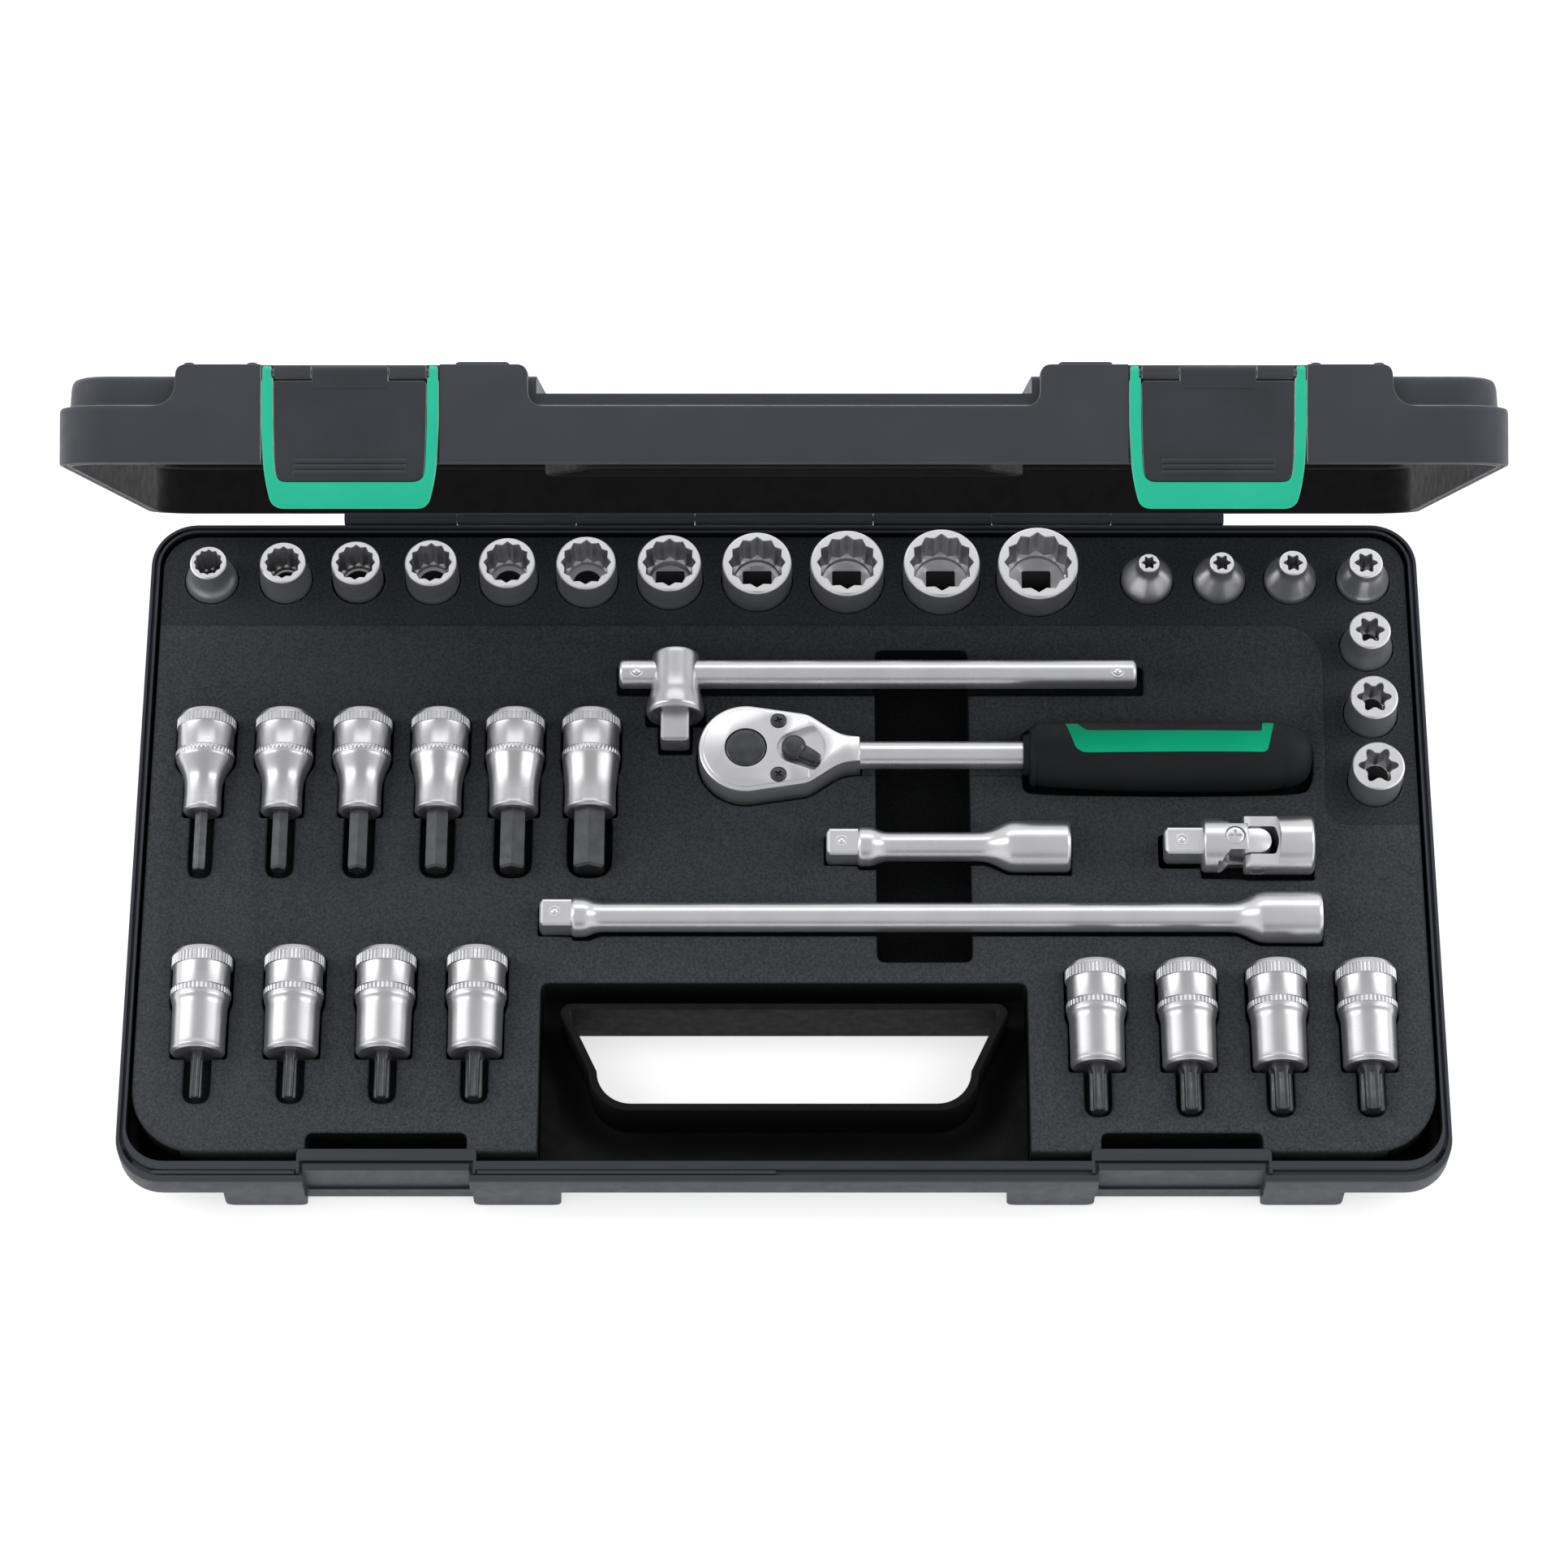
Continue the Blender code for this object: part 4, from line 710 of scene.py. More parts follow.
for side in (-1, 1):
    face = [(64.0, 35.0), (190.0, 35.0), (190.0, 40.9), (176.7, 40.9), (176.7, BOSS_TOP), (74.4, BOSS_TOP), (74.4, 40.9), (64.0, 40.9)]
    face = round_path([(side * x, z, 0) for x, z in face], [0, 0, 0, 7.6, 3.4, 3.4, 5.0, 0], steps=9, share=0.64)
    boss_faces.append(prism_y([(p[0], p[1]) for p in face], -HD + 0.01, -109.4, 0.5))
    x0, x1 = sorted((side * 75.2, side * 175.9))
    shape = round_path([(-HD + 1.0, 42.0, 0), (-HD + 1.0, BOSS_TOP - 0.1, 0), (-97.0, BOSS_TOP - 0.1, 0), (-84.0, TOP - 0.6, 0), (-84.0, 48.4, 0), (-109.0, 48.4, 0), (-109.5, 42.0, 0)], [0, 1.8, 5.0, 3.0, 0, 0, 0], steps=5)
    boss_tops.append(prism_x([(p[0], p[1]) for p in shape], x0, x1, 1.2))
    for a in (154.6, 173.0):                             # small domes on the boss
        bits.append(turned([(-1.0, 1.7), (0.15, 1.7), (0.5, 1.45), (0.75, 0.9), (0.8, 0.1)], (side * a, -113.4, BOSS_TOP), (0, 0, 1), 32))
    x0, x1 = sorted((side * 79.8, side * 95.4))
    bits.append(prism(rounded(x0, x1, -116.4, -108.0, 1.5, 5), BOSS_TOP - 1.0, BOSS_TOP + 0.75, 0.6))
    x0, x1 = sorted((side * (LATCH_X - 26.0), side * (LATCH_X + 26.0)))
    lid_cuts.append(block(x0, x1, -HD - 4, -113.6, RIM - 2, TOP + 6))
    for a, b in ((LATCH_X - 22.0, LATCH_X - 11.4), (LATCH_X + 11.4, LATCH_X + 22.0)):
        x0, x1 = sorted((side * a, side * b))
        lug = round_path([(-112.6, 49.0, 0), (PIN_Y - 1.85, 49.0, 0), (PIN_Y - 1.85, BOSS_TOP - 0.2, 0), (-112.6, BOSS_TOP - 0.2, 0)], [0, 0.8, 1.6, 0], steps=5)
        lugs.append(prism_x([(p[0], p[1]) for p in lug], x0, x1, 0.3))
    for a in (72.8, 90.3):                               # stiffening ribs inside the front wall
        x0, x1 = sorted((side * a, side * (a + 1.2)))
        boss_tops.append(block(x0, x1, -110.6, -108.4, 26.5, 46.0))
lid_cuts += [
    prism(handle_outline(0.0), RIM - 2.0, TOP + 4.0),
    prism([(p[0], p[1]) for p in round_path([(-72.0, -HD - 2, 0), (72.0, -HD - 2, 0), (72.0, -49.0, 0), (-72.0, -49.0, 0)], [0, 0, 5, 5])], PLATE_TOP, TOP + 4.0, 0),
    prism_x(circle(HINGE_Y, HINGE_Z, ROD_R + 0.06, 24), -HINGE_HALF - 3, HINGE_HALF + 3),
]
pin_bores = []
for side in (-1, 1):
    x0, x1 = sorted((side * (LATCH_X - 23.0), side * (LATCH_X + 23.0)))
    pin_bores.append(prism_x(circle(PIN_Y, PIN_Z, PIN_R + 0.05, 24), x0, x1))
lid_knuckles = [s for x0, x1, who in KNUCKLES if who == "lid" for s in knuckle(x0, x1, RIM, HINGE_Z + 2.4)]
# the closed forms are joined to the wall first, then the recesses are cut
piece(
    "lid_case_shell", [loft(case_rings(lid_path, lid_radii))], CASE, "lid", ["lid_shell"], turn=LID_TURN,
    unions=[prism(handle_outline(COLLAR_T), RIM + 0.4, PLATE_TOP - 1.0, 0, 0.8), block(-74.4, 74.4, -HD + 4, -46.4, PLATE_TOP - 2.8, TOP - 1.5)] + boss_faces + boss_tops + lid_knuckles,
    cuts=lid_cuts, more_unions=lugs, more_cuts=pin_bores, extra=bits,
)

# -------------------------------------------------------------------- latches
for side, word in ((-1, "left"), (1, "right")):
    cx = side * LATCH_X
    half = LATCH_W / 2
    outer = [(-half, 49.0), (-half, 36.0), (-half + 0.5, 24.0), (-half + 1.6, 17.0), (-half + 3.2, LATCH_BOTTOM), (half - 3.2, LATCH_BOTTOM), (half - 1.6, 17.0), (half - 0.5, 24.0), (half, 36.0), (half, 49.0)]
    outer = round_path([(cx + u, z, 0) for u, z in outer], [1.4, 0, 6, 5, 3.2, 3.2, 5, 6, 0, 1.4], steps=6)
    inner = [(-22.55, 60.0), (-22.4, 36.0), (-22.1, 24.0), (-21.2, 18.6), (21.2, 18.6), (22.1, 24.0), (22.4, 36.0), (22.55, 60.0)]
    inner = round_path([(cx + u, z, 0) for u, z in inner], [0, 0, 4, 3.4, 3.4, 4, 0, 0], steps=6)
    hole = prism_y([(p[0], p[1]) for p in inner], PIN_Y - 4, PIN_Y + 4)

    def eye(x0, x1, r, edge=0.3):
        shape = [(PIN_Y + r, 46.0)] + [(PIN_Y + r * cos(pi * k / 20), PIN_Z + r * sin(pi * k / 20)) for k in range(21)] + [(PIN_Y - r, 46.0)]
        return prism_x(shape, x0, x1, edge)

    piece(
        f"latch_{word}_frame", [prism_y([(p[0], p[1]) for p in outer], PIN_Y - LATCH_T, PIN_Y + LATCH_T, 0.5)], GREEN, f"latch_{word}", [f"latch_frame_{word}"], turn=LID_TURN,
        cuts=[hole], more_unions=[eye(cx - half + 0.3, cx - half + 2.7, LATCH_T - 0.05), eye(cx + half - 2.7, cx + half - 0.3, LATCH_T - 0.05)],
        more_cuts=[prism_x(circle(PIN_Y, PIN_Z, PIN_R + 0.05, 24), cx - half + 1.0, cx + half - 1.0)],
    )
    plate = [(-22.15, 48.1), (-22.0, 36.0), (-21.7, 24.0), (-20.8, 19.0), (20.8, 19.0), (21.7, 24.0), (22.0, 36.0), (22.15, 48.1)]
    plate = round_path([(cx + u, z, 0) for u, z in plate], [1.3, 0, 3.8, 3.2, 3.2, 3.8, 0, 1.3], steps=6)
    ridges = []
    for z in (21.4, 23.1, 24.8):
        bar = round_path([(cx - 16.4, z - 0.55, 0), (cx + 16.4, z - 0.55, 0), (cx + 16.4, z + 0.55, 0), (cx - 16.4, z + 0.55, 0)], 0.5, steps=4)
        ridges.append(prism_y([(p[0], p[1]) for p in bar], PIN_Y - 1.7 - 0.5, PIN_Y - 1.0, 0.2))
    piece(
        f"latch_{word}_plate", [prism_y([(p[0], p[1]) for p in plate], PIN_Y - 1.7, PIN_Y + 1.7, 0.4)], PLATE, f"latch_{word}", [f"latch_plate_{word}"], turn=LID_TURN,
        unions=[eye(cx - 11.0, cx + 11.0, 1.85)], cuts=[prism_x(circle(PIN_Y, PIN_Z, PIN_R + 0.06, 24), cx - 12, cx + 12)], extra=ridges,
    )
    piece(f"latch_{word}_pin", [prism_x(circle(PIN_Y, PIN_Z, PIN_R, 24), cx - half + 1.2, cx + half - 1.2, 0.15)], ROD, "lid", [f"latch_pin_{word}"], turn=LID_TURN)

# ----------------------------------------------------------- standing sockets
UP, FORWARD, ALONG = (0, 0, 1), (0, -1, 0), (1, 0, 0)
HOLE = ("square", SQUARE_HOLE, 0.5)
for size, x, od in SOCKETS:
    r, across, inner = od / 2, size / cos(pi / 6) / 2 * 1.02, size / 2 * 1.03
    foot = foot_radius(od)
    if od < DRIVE_END_D - 1:
        wall = soft_profile([(0, foot - 0.8), (0.8, foot), (16.2, foot), (19.8, r + 0.4), (23.0, r), (SOCKET_L - 0.7, r), (SOCKET_L, r - 0.55)], [0, 0.3, 1.6, 3.0, 2.0, 0.5, 0])
    elif od > 22:
        wall = soft_profile([(0, foot - 0.8), (0.8, foot), (8.8, foot), (10.4, r), (SOCKET_L - 0.9, r), (SOCKET_L, r - 0.8)], [0, 0.3, 1.2, 1.2, 0.6, 0])
    else:
        wall = soft_profile([(0, r - 0.8), (0.8, r), (17.0, r), (18.2, r - 0.25), (SOCKET_L - 0.8, r - 0.25), (SOCKET_L, r - 0.9)], [0, 0.3, 0.5, 0.5, 0.6, 0])
    # a ring of knurling low on the skirt
    low = []
    for k, (h, v) in enumerate(wall):
        low.append((h, v))
        if k + 1 < len(wall) and h < 9.5 and wall[k + 1][0] > 14.0:
            low += [(10.5, v), (10.7, ("knurl", v, 0.32)), (14.3, ("knurl", v, 0.32)), (14.5, v)]
    profile = low + [
        (SOCKET_L, ("star", across + 0.12, inner + 0.2)), (SOCKET_L - 0.2, ("star", across, inner + 0.04)), (SOCKET_L - 0.8, ("star", across, inner)),
        (SOCKET_L - 13.0, ("star", across, inner)), (SOCKET_L - 13.4, inner * 0.96), (SOCKET_L - 15.2, inner * 0.95),
    ]
    if size > 14:
        profile += [(SOCKET_L - 15.8, 6.85), (SOCKET_L - 15.9, HOLE), (0.6, HOLE), (0.0, ("square", SQUARE_HOLE + 1.2, 0.8))]
    else:
        profile += [(12.6, min(inner * 0.84, 4.8)), (11.4, min(inner * 0.84, 4.8)), (10.8, HOLE), (0.6, HOLE), (0.0, ("square", SQUARE_HOLE + 1.2, 0.8))]
    body = f"socket_{size:02d}mm"
    obj = piece(f"{body}_shell", [turned(profile, (x, SOCKET_ROW_Y, SOCKET_FOOT), UP, loop=True)], CHROME_Z, body, [body], angle=28)
    # the bore is left as forged, darker than the plated outside
    obj.data.materials.append(BORE)
    for polygon in obj.data.polygons:
        c = polygon.center * 1000
        d = math.hypot(c.x - x, c.y - SOCKET_ROW_Y)
        if d < across - 0.05 and c.z < SOCKET_FOOT + SOCKET_L - 1.2:
            polygon.material_index = 1

for size, x, y, od, bore in LOBE_SOCKETS:
    r, foot, lobe = od / 2, DRIVE_END_D / 2, bore / 2
    if od < 12:
        wall = soft_profile([(0, foot - 0.8), (0.8, foot), (16.4, foot), (18.0, foot - 0.9), (23.2, r + 0.55), (24.8, r), (SOCKET_L - 0.4, r), (SOCKET_L, r - 0.4)], [0, 0.3, 0.7, 2.5, 1.6, 0.8, 0.3, 0])
    else:
        low_r = min(r, foot)
        wall = soft_profile([(0, foot - 0.8), (0.8, foot), (15.6, foot), (20.4, low_r + 0.2), (22.5, low_r), (SOCKET_L - 0.6, low_r), (SOCKET_L, low_r - 0.55)], [0, 0.3, 1.4, 2.4, 1.0, 0.5, 0])
    low = []
    for k, (h, v) in enumerate(wall):
        low.append((h, v))
        if k + 1 < len(wall) and h < 9.0 and wall[k + 1][0] > 14.0:
            low += [(9.5, v), (9.7, ("knurl", v, 0.32)), (13.3, ("knurl", v, 0.32)), (13.5, v)]
    mouth = ("lobe", lobe, lobe * 0.68, 1.5)
    profile = low + [
        (SOCKET_L, ("lobe", lobe + 0.12, lobe * 0.72, 1.4)), (SOCKET_L - 0.25, mouth), (SOCKET_L - 0.7, mouth),
        (SOCKET_L - 9.0, mouth), (SOCKET_L - 9.2, lobe * 0.64), (12.0, lobe * 0.6), (10.8, HOLE), (0.6, HOLE), (0.0, ("square", SQUARE_HOLE + 1.2, 0.8)),
    ]
    body = f"lobe_socket_e{size:02d}"
    obj = piece(f"{body}_shell", [turned(profile, (x, y, SOCKET_FOOT), UP, phase=pi / 6, loop=True)], CHROME_Z, body, [body], angle=28)
    obj.data.materials.append(BORE)
    for polygon in obj.data.polygons:
        c = polygon.center * 1000
        d = math.hypot(c.x - x, c.y - y)
        if d < lobe + 0.02 and c.z < SOCKET_FOOT + SOCKET_L - 1.0:
            polygon.material_index = 1

# ------------------------------------------------------------ lying bit sockets
DRIVE_IN = [(10.6, 0.5), (11.0, HOLE), (0.9, HOLE), (0.0, ("square", SQUARE_HOLE + 1.3, 0.9))]
for size, x, neck in HEX_BITS:
    body = f"hex_bit_socket_{size:02d}"
    r, n = HEX_HEAD_R, neck / 2
    head = soft_profile([(0.0, r - 1.5), (0.15, r - 1.0), (1.7, r - 0.35), (2.0, r - 0.35)], [0, 0.4, 0.8, 0])
    skirt = soft_profile([(HEX_HEAD_L - 1.0, r - 0.35), (HEX_HEAD_L, r - 0.35), (HEX_SHOULDER_L + 1.4, n + 0.35), (HEX_SHOULDER_L + 6.0, n - 0.1), (HEX_NECK_L - 1.6, n), (HEX_NECK_L - 0.7, n + 0.12), (HEX_NECK_L, n - 0.9)], [0, 1.6, 4.0, 3.0, 1.0, 0.5, 0], 5)
    profile = DRIVE_IN + head + [
        (2.2, ("knurl", r + 0.05, 0.35)), (5.0, ("knurl", r + 0.05, 0.35)), (5.25, r - 0.42), (5.8, r - 0.5), (13.4, r - 0.5), (13.8, r - 0.35),
        (14.0, ("knurl", r - 0.05, 0.3)), (15.4, ("knurl", r - 0.05, 0.3)), (15.6, r - 0.35),
    ] + skirt + [(HEX_NECK_L - 0.4, size * 0.56), (HEX_NECK_L - 1.5, size * 0.3)]
    piece(f"{body}_holder", [turned(profile, (x, HEX_Y, LYING_Z), FORWARD)], CHROME_Y, body, [body], angle=26)
    c = size / cos(pi / 6) / 2
    tip = [(HEX_NECK_L - 3.0, ("hex", size)), (HEX_BIT_L - 0.9, ("hex", size)), (HEX_BIT_L - 0.1, ("hex", size * 0.86)), (HEX_BIT_L, ("hex", size * 0.80))]
    piece(f"{body}_bit", [turned(tip, (x, HEX_Y, LYING_Z), FORWARD, 72)], BLACK, body, (), angle=20)
for size, x, y, d in STAR_BITS:
    body = f"star_bit_socket_{size}"
    r, b = STAR_HEAD_R, STAR_BODY_R
    head = soft_profile([(0.0, r - 1.5), (0.15, r - 1.0), (1.6, r - 0.35), (1.9, r - 0.35)], [0, 0.4, 0.8, 0])
    skirt = soft_profile([(STAR_KNURL_L, r - 0.45), (STAR_KNURL_L + 1.0, r - 0.45), (STAR_KNURL_L + 2.6, b), (STAR_HEAD_L - 2.2, b - 0.15), (STAR_HEAD_L - 0.8, b), (STAR_HEAD_L, b - 1.0)], [0, 0.5, 1.4, 1.0, 0.6, 0], 5)
    profile = DRIVE_IN + head + [
        (2.1, ("knurl", r + 0.05, 0.35)), (5.4, ("knurl", r + 0.05, 0.35)), (5.65, r - 0.5), (6.1, r - 0.6), (13.0, r - 0.6), (13.4, r - 0.4),
        (13.6, ("knurl", r - 0.05, 0.3)), (15.4, ("knurl", r - 0.05, 0.3)), (15.6, r - 0.45),
    ] + skirt + [(STAR_HEAD_L - 0.4, b - 2.2), (STAR_HEAD_L - 1.0, d * 0.55), (STAR_HEAD_L - 2.0, d * 0.3)]
    piece(f"{body}_holder", [turned(profile, (x, y, LYING_Z), FORWARD)], CHROME_Y, body, [body], angle=26)
    lobe = d / 2
    tip = [(STAR_HEAD_L - 3.0, lobe * 1.12), (STAR_HEAD_L + 0.8, lobe * 1.12), (STAR_HEAD_L + 2.4, ("lobe", lobe, lobe * 0.74, 0.8)), (STAR_BIT_L - 0.6, ("lobe", lobe, lobe * 0.74, 0.8)), (STAR_BIT_L, ("lobe", lobe * 0.86, lobe * 0.64, 0.8))]
    piece(f"{body}_bit", [turned(tip, (x, y, LYING_Z), FORWARD, 72)], BLACK, body, (), angle=35)

# ------------------------------------------------------------ sliding T-handle
tl = T_HEAD_Y0 - T_HEAD_Y1
sq_end = T_HEAD_Y0 - T_SQUARE_Y
t_head = soft_profile([(0, 0.3), (0, 5.2), (0.5, 7.6), (1.6, 8.0), (13.6, 8.0), (17.4, 9.2), (tl - 1.2, 9.6), (tl, 8.9)], [0, 0, 1.2, 1.4, 4.0, 3.0, 0.8, 0], 5)
t_head += [(tl, 8.0), (tl - 1.8, 6.9), (tl - 1.8, ("square", SQUARE, 1.0)), (sq_end - 0.9, ("square", SQUARE, 1.0)), (sq_end - 0.2, ("square", SQUARE - 1.0, 1.0)), (sq_end, ("square", SQUARE - 1.6, 1.0))]
piece(
    "t_handle_slider", [turned(t_head, (T_HEAD_X, T_HEAD_Y0, T_Z), FORWARD)], CHROME_Y, "t_handle", ["t_handle_head"],
    cuts=[prism_x(circle(T_Y, T_Z, T_BAR_R + 0.06, 48), T_HEAD_X - 14, T_HEAD_X + 14)], angle=28,
)
bar_l = T_BAR_X1 - T_BAR_X0
bar = soft_profile([(0, 0.3), (0, T_BAR_R - 0.9), (0.9, T_BAR_R), (bar_l - 0.9, T_BAR_R), (bar_l, T_BAR_R - 0.9), (bar_l, 0.3)], [0, 0.5, 0.5, 0.5, 0.5, 0])
piece(
    "t_handle_sliding_bar", [turned(bar, (T_BAR_X0, T_Y, T_Z), ALONG, 72)], CHROME_X, "t_bar", ["t_handle_bar"],
    extra=detent((-48.6, T_Y - 1.0, T_Z + 4.55), Vector((0, -0.2, 0.98))) + detent((110.0, T_Y - 1.0, T_Z + 4.55), Vector((0, -0.2, 0.98))),
)

# --------------------------------------------------------- reversible ratchet
outline = ratchet_outline(0.0)
neck_rings = []
for x, w, z0, z1, c in ((4.0, 12.3, 20.9, 33.1, 1.6), (8.0, 12.0, 21.2, 33.1, 2.0), (11.0, 9.9, 21.8, 32.9, 2.6), (14.0, 8.0, 22.3, 32.6, 3.2), (17.5, 6.1, 22.8, 32.25, 3.8), (21.0, 5.0, 22.95, 32.05, 4.2), (26.0, 4.55, 22.95, 32.05, 4.5), (48.0, 4.55, 22.95, 32.05, 4.5)):
    hz = (z1 - z0) / 2
    ring = rounded(-w, w, z0, z1, min(c, w * 0.98, hz * 0.98), 8)
    neck_rings.append([(x, R_Y + a, b) for a, b in ring])
shaft = turned([(0, R_SHAFT_R), (75.0, R_SHAFT_R)], (40.0, R_Y, R_SHAFT_Z), ALONG, 72)
window = []
for k in range(25):                                   # the recess that the lever sweeps
    a = radians(-52 + 104 * k / 24)
    window.append((R_LEVER_X + 10.4 * cos(a), R_Y + 10.4 * sin(a)))
window += [(R_LEVER_X + 5.5 * cos(radians(t)), R_Y + 5.5 * sin(radians(t))) for t in range(105, 256, 10)]
window = [(p[0], p[1]) for p in round_path([(x, y, 0) for x, y in ccw(window)], 0.8, steps=2)]
head_body = prism(outline, R_BOTTOM, R_PLATE_TOP - 0.35, 1.1, 1.0)
WHEEL_X = R_HEAD_X
piece(
    "ratchet_forged_body", [head_body], CHROME, "ratchet", ["ratchet_body"],
    unions=[loft(neck_rings), shaft],
    cuts=[
        prism(circle(WHEEL_X, R_Y, 7.2, 64), R_BOTTOM - 3, R_BODY_TOP + 5),
        prism(circle(WHEEL_X, R_Y, 8.3, 64), R_BOTTOM + 1.2, R_BODY_TOP + 5),
        prism([(x, y) for x, y in window], R_BODY_TOP - 0.9, 40.0),
        prism(circle(R_LEVER_X, R_Y, 3.35, 40), R_BODY_TOP - 5.0, R_BODY_TOP + 5),
    ] + [prism(circle(dx, R_Y + dy, 1.35, 24), R_BODY_TOP - 6.0, R_BODY_TOP + 5) for _, dx, dy in R_SCREWS],
    angle=32,
)
plate_outline = [(x, y) for x, y in ratchet_outline(-1.5) if x < 8.6]
piece(
    "ratchet_top_plate", [prism(plate_outline, R_BODY_TOP + 0.3, R_PLATE_TOP + 0.1, 0.5)], CHROME, "ratchet", ["ratchet_cover_plate"],
    cuts=[
        prism(circle(WHEEL_X, R_Y, 6.95, 96), R_BODY_TOP - 3, R_PLATE_TOP + 3),
        prism(grown(window, 0.05), R_BODY_TOP - 3, 40.0),
    ] + [prism(circle(dx, R_Y + dy, 2.75, 40), R_BODY_TOP - 3, R_PLATE_TOP + 3) for _, dx, dy in R_SCREWS],
    angle=30,
)
for word, dx, dy in R_SCREWS:
    z = R_PLATE_TOP - 6.8
    cross = [(-1.25, -0.3), (-0.3, -0.3), (-0.3, -1.25), (0.3, -1.25), (0.3, -0.3), (1.25, -0.3), (1.25, 0.3), (0.3, 0.3), (0.3, 1.25), (-0.3, 1.25), (-0.3, 0.3), (-1.25, 0.3)]
    turn_a = radians(20 if word == "far" else 52)
    cross = [(dx + u * cos(turn_a) - v * sin(turn_a), R_Y + dy + u * sin(turn_a) + v * cos(turn_a)) for u, v in cross]
    screw = soft_profile([(0, 0.2), (0, 1.0), (5.6, 1.05), (6.3, 2.65), (7.0, 2.65), (7.35, 2.1), (7.45, 0.2)], [0, 0.2, 0.4, 0.3, 0.4, 0.3, 0])
    piece(f"ratchet_{word}_screw", [turned(screw, (dx, R_Y + dy, z), UP, 48)], BLACK, "ratchet", [f"ratchet_screw_{word}"], cuts=[prism(cross, z + 6.2, z + 9)], angle=30)
drive = [(0, ("square", SQUARE - 2.2, 1.0)), (0.3, ("square", SQUARE - 1.2, 1.0)), (1.1, ("square", SQUARE, 1.0)), (12.3, ("square", SQUARE, 1.0)), (12.3, 7.0), (12.5, 7.1), (12.9, 7.9), (16.6, 7.9), (16.9, 7.5)]
piece("ratchet_anvil", [turned(drive, (WHEEL_X, R_Y, 9.5), UP)], CHROME_Z, "ratchet_drive", ["ratchet_drive_square"],
      extra=detent((WHEEL_X, R_Y - 4.75, 14.6), Vector((0, -1, 0))))
button = soft_profile([(0, 0.3), (0, 6.3), (0.4, 6.75), (4.5, 6.75), (4.95, 6.3), (5.1, 5.4), (5.2, 0.3)], [0, 0.3, 0.3, 0.4, 0.4, 0.5, 0])
piece("ratchet_release_button", [turned(button, (WHEEL_X, R_Y, 28.55), UP, 96)], BLACK, "ratchet_button", ["release_button"])
rest_a = radians(-29)


def lever_arm(z0, z1, grow):
    shape = [(-0.5, -2.7), (7.2, -2.2), (9.4, -1.7), (9.9, 0.0), (9.4, 1.7), (7.2, 2.2), (-0.5, 2.7)]
    shape = round_path([(u, v, 0) for u, v in shape], [0, 0.6, 0.9, 0.6, 0.9, 0.6, 0], steps=3)
    pts = [(R_LEVER_X + u * cos(rest_a) - v * sin(rest_a), R_Y + u * sin(rest_a) + v * cos(rest_a)) for u, v, _ in shape]
    return prism(ccw(pts), z0, z1, grow)


lever = soft_profile([(0, 0.3), (0, 2.9), (3.9, 2.9), (4.2, 4.0), (6.2, 4.0), (7.1, 3.3), (7.5, 2.4), (7.6, 0.3)], [0, 0.2, 0.3, 0.4, 0.7, 0.7, 0.7, 0])
piece("ratchet_lever_knob", [turned(lever, (R_LEVER_X, R_Y, R_BODY_TOP - 3.4), UP, 64)], BLACK, "ratchet_lever", ["reversing_lever"],
      unions=[lever_arm(R_BODY_TOP + 0.1, R_PLATE_TOP + 1.5, 0.9)], angle=32)

# moulded grip: straight along its far side, bellied along its near side
FAR = GRIP_Y + 11.35
grip_profile = soft_profile(
    [(0.0, R_SHAFT_R + 0.1), (0.0, 9.4), (1.8, 10.4), (14.0, 11.0), (36.0, 11.5), (56.0, 11.75), (74.0, 11.55), (84.0, 10.9), (90.6, 8.4), (92.5, 4.0), (92.5, 0.3)],
    [0, 1.0, 2.0, 6, 8, 8, 8, 7, 4.5, 2.0, 0], 6)


def grip_rings(profile, more):
    rings = []
    for h, r in profile:
        centre_y = min(FAR - 11.35 + (11.35 - r) * (0.75 if 2.0 < h < 84 else 0.0), FAR)
        rr = max(r + more, 0.2)
        flat = 0.985
        rings.append([(GRIP_X0 + h, centre_y + rr * cos(2 * pi * k / 96), R_SHAFT_Z + rr * flat * sin(2 * pi * k / 96)) for k in range(96)])
    return rings


piece("ratchet_rubber_grip", [loft(grip_rings(grip_profile, 0.0))], RUBBER, "ratchet", ["ratchet_grip"],
      unions=[turned([(0, 6.4), (1.0, 6.9), (3.0, 7.2), (5.0, 8.0)], (GRIP_X0 - 2.2, R_Y, R_SHAFT_Z), ALONG, 64)], angle=35)
# the inlay follows the grip's surface inside its own outline
inlay_shape = [(97.4, 26.0), (157.6, 26.0), (160.4, 37.9), (156.6, 37.9), (156.0, 33.6), (98.6, 34.0), (95.9, 37.6), (92.0, 37.6), (95.0, 27.8)]
inlay_shape = [(p[0], p[1]) for p in round_path([(x, y, 0) for x, y in inlay_shape], [1.8, 1.8, 0.4, 0.4, 0.8, 1.8, 0.4, 0.4, 1.0], steps=5)]
inlay_shape = ccw(inlay_shape)
piece("ratchet_inlay", [loft(grip_rings(grip_profile, 0.16))], INLAY, "ratchet", ["ratchet_grip_inlay"], clip=[prism(inlay_shape, 31.0, 44.0)], angle=35)

